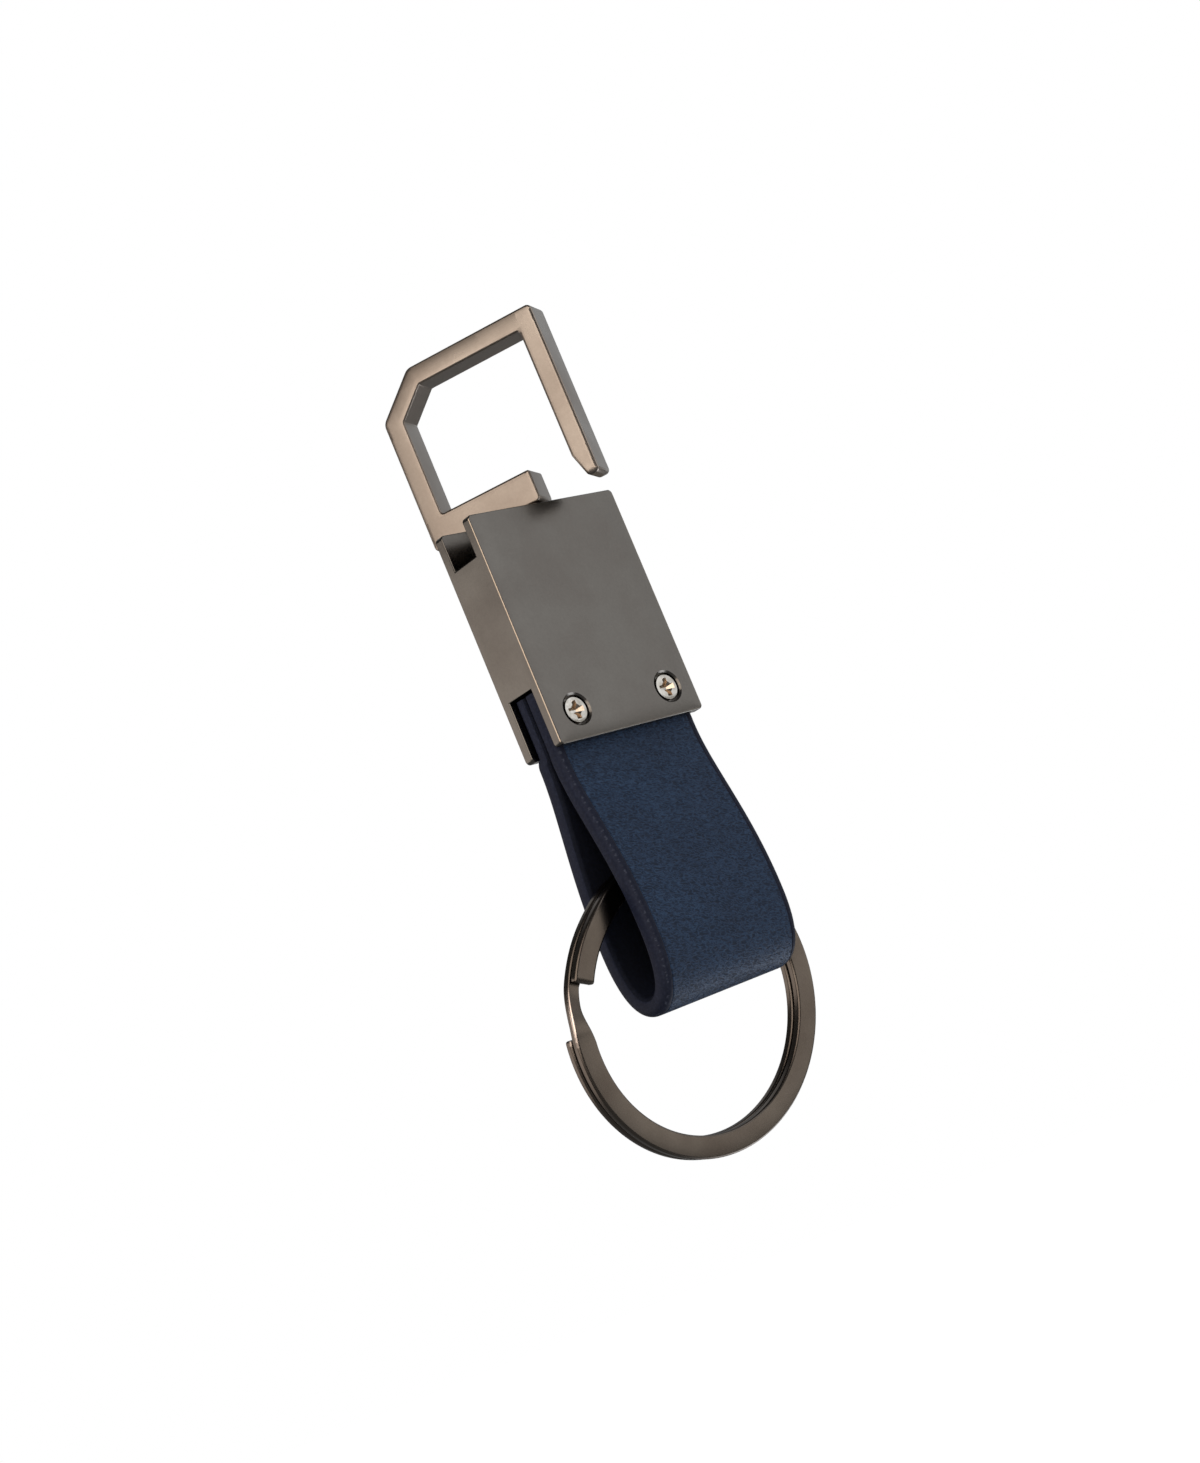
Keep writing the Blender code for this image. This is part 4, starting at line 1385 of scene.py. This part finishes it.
@dataclass
class SplitRing:
    """The split ring: one flat wire, two turns with a step where one turn passes to the other."""

    outer_radius: float = 16.0 * MM
    wire_width: float = 2.45 * MM
    wire_thickness: float = 0.95 * MM
    coil_gap: float = 0.25 * MM
    wire_edge: float = 0.28 * MM
    end_edge: float = 0.25 * MM
    front_end: float = math.radians(156.5)
    step_angle: float = math.radians(19)
    end_clearance: float = math.radians(1)
    coil_steps: int = 170
    step_steps: int = 24
    tilt: float = math.radians(11.188)
    twist: float = math.radians(4.619)
    middle: Corner = (-2.591 * MM, 2.4 * MM, 0.207 * MM)
    sprung: float = 0.7 * MM
    sprung_angles: tuple[float, ...] = tuple(map(math.radians, (103, 133, 158, 179)))
    neck_share: float = 0.42
    neck_angles: tuple[float, ...] = tuple(map(math.radians, (148, 158, 165, 181)))
    corner_facing: float = 0.97         # where the painted highlight on the outer corner ends, on the face and inwards
    corner_reach: float = 0.56 * MM
    # A darker copy of the hook's plate, as painted shade; its marked-face cream is a painted highlight on the
    # neck's outer corner.
    finish: PlatedMetal = PlatedMetal("bronze-toned plate darkened by painted shade", "#6a635c", "#625a53", "#f4e3d8", 0.24,
                                      bump_height=0.002 * MM)

    def form(self) -> bmesh.types.BMesh:
        """Spin the wire's section twice round, stepping from the front coil to the back.

        Returns:
            The closed solid about Y.
        """
        wire_radius = self.outer_radius - self.wire_width / 2
        pitch = self.wire_thickness + self.coil_gap
        half, thin = self.wire_width / 2, self.wire_thickness / 2
        corners = [(across, deep, self.wire_edge)
                   for across, deep in ((-half, -thin), (half, -thin), (half, thin), (-half, thin))]
        form = bmesh.new()
        start = Matrix.Rotation(-self.front_end, 4, "Y")
        section = [form.verts.new(start @ Vector((wire_radius + point.x, point.y - pitch / 2, 0)))
                   for point in rounded(corners)]
        last = [form.faces.new(section)]
        coil = math.tau - self.step_angle - self.end_clearance
        shares = [eased(step / self.step_steps) for step in range(self.step_steps + 1)]
        moves = [(coil, 0.0, self.coil_steps)]
        moves += [(self.step_angle / self.step_steps, later - earlier, 1)
                  for earlier, later in zip(shares, shares[1:])]
        moves += [(coil, 0.0, self.coil_steps)]
        inner = []
        for angle, share, steps in moves:
            spun = bmesh.ops.spin(form, geom=last, axis=(0, 1, 0), cent=(0, 0, 0), angle=angle, steps=steps,
                                  dvec=(0, share * pitch, 0))
            inner += last
            last = [item for item in spun["geom_last"] if isinstance(item, bmesh.types.BMFace)]
        ends = [inner[0], *last]
        bmesh.ops.delete(form, geom=[item for item in inner[1:] if item.is_valid], context="FACES_ONLY")
        rims = dict.fromkeys(edge for face in ends for edge in face.edges)
        soften(form, list(rims), self.end_edge, segments=2)
        bmesh.ops.recalc_face_normals(form, faces=form.faces)
        self.press_neck(form)
        self.spring_open(form)
        return form

    def press_neck(self, form: bmesh.types.BMesh) -> None:
        """Narrow the wire at its step, where a tool nips its inner edge, and paint a highlight on its outer
        corner there.

        Args:
            form: The ring about Y.
        """
        wear_and_painted_light = wear_and_light_layer(form)
        start, full, ebb, end = self.neck_angles
        for face in form.faces:
            middle = face.calc_center_median()
            angle = math.atan2(middle.z, middle.x)
            is_step = self.front_end + self.end_clearance < angle < end and face.normal.y < 0
            is_outside = math.hypot(middle.x, middle.z) > self.outer_radius - self.corner_reach
            is_corner = is_outside and abs(face.normal.y) < self.corner_facing
            # Painted highlight on the outer corner of the step, strongest midway between the full nip and the
            # step's end.
            neck_highlight = math.sin(math.pi * clamped((angle - full) / (end - full)))
            face[wear_and_painted_light] = neck_highlight if is_step and is_corner else 0.0
        for vertex in form.verts:
            angle = math.atan2(vertex.co.z, vertex.co.x)
            if angle < self.front_end + self.end_clearance / 2 and vertex.co.y < 0:
                continue
            nip = eased(clamped((angle - start) / (full - start)))
            nip *= eased(clamped((end - angle) / (end - ebb)))
            reach = math.hypot(vertex.co.x, vertex.co.z)
            new_reach = self.outer_radius - (self.outer_radius - reach) * (1 - self.neck_share * nip)
            vertex.co.x *= new_reach / reach
            vertex.co.z *= new_reach / reach

    def spring_open(self, form: bmesh.types.BMesh) -> None:
        """Let both coils stand forward a little above the step, as a ring that has been opened does.

        Args:
            form: The ring about Y.
        """
        rise_start, rise_end, fall_start, fall_end = self.sprung_angles
        for vertex in form.verts:
            angle = math.atan2(vertex.co.z, vertex.co.x)
            rise = clamped((angle - rise_start) / (rise_end - rise_start))
            fall = clamped((fall_end - angle) / (fall_end - fall_start))
            vertex.co.y -= self.sprung * eased(rise) * eased(fall)

    def build(self) -> None:
        """Make the ring in the strap's loop."""
        side, back, rise = self.middle
        centre = Vector((side, back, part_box("strap")[0].z + rise))
        leaned = Matrix.Rotation(-self.twist, 4, "Z") @ Matrix.Rotation(self.tilt, 4, "X")
        form = moved(self.form(), housing_turn() @ Matrix.Translation(centre) @ leaned)
        add_piece("split_ring_wire", form, [self.finish.material()], Body.RING,
                  "split_ring", even=False)


@dataclass(frozen=True)
class Lamp:
    """A soft box, placed by its direction from the key chain's middle."""

    name: str
    azimuth: float
    elevation: float
    distance: float
    size: float
    watts: float


def bare_material(name: str) -> tuple[bpy.types.Material, bpy.types.NodeTree]:
    """Make a material without any nodes.

    Args:
        name: The material's name.

    Returns:
        The material and its empty nodes.
    """
    material = bpy.data.materials.new(name)
    material.use_nodes = True
    material.node_tree.nodes.clear()
    return material, material.node_tree


@dataclass(frozen=True)
class Card:
    """A reflector or a dark flag. Only gloss shows it, so that it neither lights nor hides anything."""

    name: str
    corner: Corner
    along: Corner
    across: Corner
    colour: str
    strength: float
    shades: tuple[Stop, ...] = ((0.0, 1.0), (1.0, 1.0))
    is_round: bool = False

    def build(self) -> None:
        """Stand the card in the studio, with its shades running along it or in from its round rim."""
        corner, along, across = Vector(self.corner), Vector(self.along), Vector(self.across)
        form = bmesh.new()
        form.loops.layers.uv.new("card map")
        bmesh.ops.create_grid(form, x_segments=1, y_segments=1, size=0.5, calc_uvs=True)
        place = Matrix((along, across, along.cross(across))).transposed().to_4x4()
        card = as_object(self.name, moved(form, Matrix.Translation(corner + (along + across) / 2) @ place))
        material, tree = bare_material(self.name)
        flat = add_node(tree, "ShaderNodeTexCoord").outputs["UV"]
        shift, scale = (-1.0, 2.0) if self.is_round else (0.0, 1.0)
        centred = add_node(tree, "ShaderNodeMapping", inputs={
            "Vector": flat, "Location": (shift, shift, 0.0), "Scale": (scale, scale, 1.0)})
        fade = add_node(tree, "ShaderNodeTexGradient",
                        {"gradient_type": "SPHERICAL" if self.is_round else "LINEAR"},
                        {"Vector": centred.outputs["Vector"]})
        shades = add_node(tree, "ShaderNodeValToRGB", {STOPS: self.shades}, {"Fac": fade.outputs["Fac"]})
        tinted = add_node(tree, "ShaderNodeMix", TINT, {
            "Factor": 1.0, MIX_A: shades.outputs["Color"], MIX_B: linear(self.colour)})
        glow = add_node(tree, "ShaderNodeEmission", inputs={
            "Color": tinted.outputs[MIX_RESULT], "Strength": self.strength})
        add_node(tree, "ShaderNodeOutputMaterial", inputs={"Surface": glow.outputs[0]})
        card.data.materials.append(material)
        card.visible_camera = False
        card.visible_diffuse = False
        card.visible_transmission = False
        card.visible_shadow = False
        card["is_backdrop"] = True


@dataclass
class Studio:
    """Pale floor and backdrop, soft boxes and the photograph's camera."""

    azimuth: float = math.radians(18.237)
    elevation: float = math.radians(-8.955)
    roll: float = math.radians(-22.612)
    distance: float = 302.39 * MM
    aim_height: float = -27.65 * MM
    pixels_per_metre: float = 9415.0
    focal_pixels: float = 2847.1
    image_width: float = 1200.0
    image_height: float = 1463.0
    aim_pixel: Place = (559.227, 599.211)
    sensor: float = 36.0
    clip_start: float = 10.0 * MM
    clip_end: float = 32.0
    floor_drop: float = 160.0 * MM
    floor_size: float = 8.0
    floor_colour: str = "#f4f4f4"
    floor_glow: float = 0.85
    ambient: float = 0.55
    lamps: tuple[Lamp, ...] = (
        Lamp("key", math.radians(-20), math.radians(52), 0.55, 0.4, 1.45),
        Lamp("fill", math.radians(70), math.radians(20), 0.6, 0.4, 0.3),
        Lamp("rim", math.radians(165), math.radians(40), 0.55, 0.3, 0.5),
    )
    cards: tuple[Card, ...] = (
        Card("key card", (-1.09, -0.62, 0.0), (0.99, 0, -0.99), (0.99, 0, 0.99), "#fff3e8", 1.85,
             ((0.0, 0.07), (0.15, 0.07), (0.24, 0.36), (0.31, 0.74), (0.36, 0.92), (0.45, 1.05),
              (0.6, 1.05))),
        Card("lens light", (0.04, -0.55, -0.02), (0.16, 0, 0), (0, 0, 0.16), "#fff1e3", 3.2,
             ((0.0, 0.0), (0.3, 1.0), (1.0, 1.0)), is_round=True),
        Card("left card", (-0.45, -0.5, -0.235), (0, 1.0, 0), (0, 0, 0.335), "#fff4ec", 1.3,
             ((0.0, 0.35), (0.28, 0.35), (0.35, 1.0), (0.54, 1.0), (0.6, 0.3), (1.0, 0.3))),
        Card("left flag", (-0.45, -0.5, 0.1), (0, 1.0, 0), (0, 0, 0.365), "#ffffff", 0.07),
        Card("right card", (0.45, -0.5, -0.04), (0, 1.0, 0), (0, 0, 0.5), "#fdfdff", 1.04,
             ((0.0, 0.06), (0.37, 0.08), (0.44, 1.0), (0.585, 1.0), (0.615, 0.84), (1.0, 0.86))),
        Card("right low card", (0.45, -0.5, -0.235), (0, 1.0, 0), (0, 0, 0.145), "#fffaf4", 1.15,
             ((0.0, 0.06), (0.37, 0.08), (0.44, 1.0), (1.0, 0.9))),
        Card("right flag", (0.5, -0.6, -0.235), (0, 1.3, 0), (0, 0, 0.7), "#ffffff", 0.3),
        Card("top flag", (-0.6, -0.6, 0.45), (0, 1.5, 0), (1.2, 0, 0), "#ffffff", 1.0,
             ((0.0, 0.07), (0.5, 0.07), (0.6, 0.4), (1.0, 0.4))),
        Card("low flag", (-0.6, -0.6, -0.24), (0, 2.0, 0), (1.2, 0, 0), "#ffffff", 0.15),
        Card("floor glow", (0.0, 0.02, -0.238), (0, 0.28, 0), (0.2, 0, 0), "#f4f8ff", 2.7,
             ((0.0, 0.2), (0.2, 1.0), (0.8, 1.0), (1.0, 0.2))),
        Card("ring glow", (0.4, -0.04, -0.238), (0, 0.3, 0), (0.3, 0, 0), "#fffaf4", 0.9),
        Card("back card", (-1.3, 0.7, -0.12), (2.34, 0, 0), (0, 0, 0.8), "#f2f9ff", 0.72,
             ((0.0, 0.25), (0.55, 0.25), (0.6, 1.0), (0.64, 1.0), (0.66, 0.75), (0.69, 0.4), (1.0, 0.3))),
    )

    def add_camera(self) -> None:
        """Stand the camera where the photograph was taken from."""
        towards = direction(self.azimuth, self.elevation)
        right = (-towards).cross(Vector((0, 0, 1))).normalized()
        up = right.cross(-towards)
        rolled_right = math.cos(self.roll) * right + math.sin(self.roll) * up
        rolled_up = -math.sin(self.roll) * right + math.cos(self.roll) * up
        across = (self.aim_pixel[0] - self.image_width / 2) / self.pixels_per_metre
        above = (self.image_height / 2 - self.aim_pixel[1]) / self.pixels_per_metre
        aim = Vector((0, 0, self.aim_height)) - across * rolled_right - above * rolled_up
        data = bpy.data.cameras.new("camera")
        data.sensor_width = self.sensor
        data.lens = self.focal_pixels / self.image_height * self.sensor
        data.clip_start = self.clip_start
        data.clip_end = self.clip_end
        camera = bpy.data.objects.new("camera", data)
        axes = Matrix((rolled_right, rolled_up, towards)).transposed().to_4x4()
        camera.matrix_world = Matrix.Translation(aim + self.distance * towards) @ axes
        bpy.context.scene.collection.objects.link(camera)
        bpy.context.scene.camera = camera

    def add_floor(self) -> None:
        """Lay a pale floor well below the ring, which meets the backdrop without a line."""
        form = bmesh.new()
        bmesh.ops.create_grid(form, x_segments=1, y_segments=1, size=self.floor_size / 2)
        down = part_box("split_ring")[0].z - self.floor_drop
        floor = as_object("floor", moved(form, Matrix.Translation((0, 0, down))))
        material, tree = bare_material("pale floor")
        paper = add_node(tree, "ShaderNodeBsdfDiffuse", inputs={"Color": linear(self.floor_colour)})
        glow = add_node(tree, "ShaderNodeEmission", inputs={
            "Color": (1, 1, 1, 1), "Strength": self.floor_glow})
        dark = add_node(tree, "ShaderNodeEmission", inputs={"Strength": 0.0})
        lit = add_node(tree, "ShaderNodeMixShader", inputs={
            0: self.seen_ray(tree), 1: dark.outputs[0], 2: glow.outputs[0]})
        both = add_node(tree, "ShaderNodeAddShader", inputs={0: paper.outputs[0], 1: lit.outputs[0]})
        add_node(tree, "ShaderNodeOutputMaterial", inputs={"Surface": both.outputs[0]})
        floor.data.materials.append(material)
        floor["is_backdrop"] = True

    def seen_ray(self, tree: bpy.types.NodeTree) -> bpy.types.NodeSocket:
        """Tell camera, glossy and transmitted rays from the ones that light the object.

        Args:
            tree: The nodes of the world or the floor.

        Returns:
            A socket that is one for rays that see the background.
        """
        path = add_node(tree, "ShaderNodeLightPath")
        glossy = add_node(tree, "ShaderNodeMath", {"operation": "MAXIMUM"}, {
            0: path.outputs["Is Camera Ray"], 1: path.outputs["Is Glossy Ray"]})
        return add_node(tree, "ShaderNodeMath", {"operation": "MAXIMUM"}, {
            0: glossy.outputs[0], 1: path.outputs["Is Transmission Ray"]}).outputs[0]

    def add_world(self) -> None:
        """Make a white backdrop that lights the object only softly."""
        world = bpy.data.worlds.new("studio")
        world.use_nodes = True
        tree = world.node_tree
        tree.nodes.clear()
        strength = add_node(tree, "ShaderNodeMapRange", inputs={
            "Value": self.seen_ray(tree), "To Min": self.ambient, "To Max": 1.0})
        background = add_node(tree, "ShaderNodeBackground", inputs={
            "Color": (1, 1, 1, 1), "Strength": strength.outputs["Result"]})
        add_node(tree, "ShaderNodeOutputWorld", inputs={"Surface": background.outputs[0]})
        bpy.context.scene.world = world

    def add_lamps(self) -> None:
        """Hang the soft boxes round the object's middle."""
        low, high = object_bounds()
        middle = (low + high) / 2
        for lamp in self.lamps:
            way = direction(lamp.azimuth, lamp.elevation)
            data = bpy.data.lights.new(lamp.name, "AREA")
            data.size = lamp.size
            data.energy = lamp.watts
            light = bpy.data.objects.new(lamp.name, data)
            facing = way.to_track_quat("Z", "Y").to_matrix().to_4x4()
            light.matrix_world = Matrix.Translation(middle + way * lamp.distance) @ facing
            light.visible_glossy = False
            bpy.context.scene.collection.objects.link(light)

    def build(self) -> None:
        """Set up the whole studio."""
        bpy.context.scene.view_settings.view_transform = "Standard"
        self.add_camera()
        self.add_floor()
        self.add_world()
        self.add_lamps()
        for card in self.cards:
            card.build()


def main() -> None:
    """Build the key chain's pieces in order, then the studio."""
    logging.basicConfig(level=logging.INFO)
    for assembly in (TurnHook(), SpringPack(), SlotHousing(), FoldedStrap(), SplitRing(), Studio()):
        assembly.build()


if __name__ == "__main__":
    main()
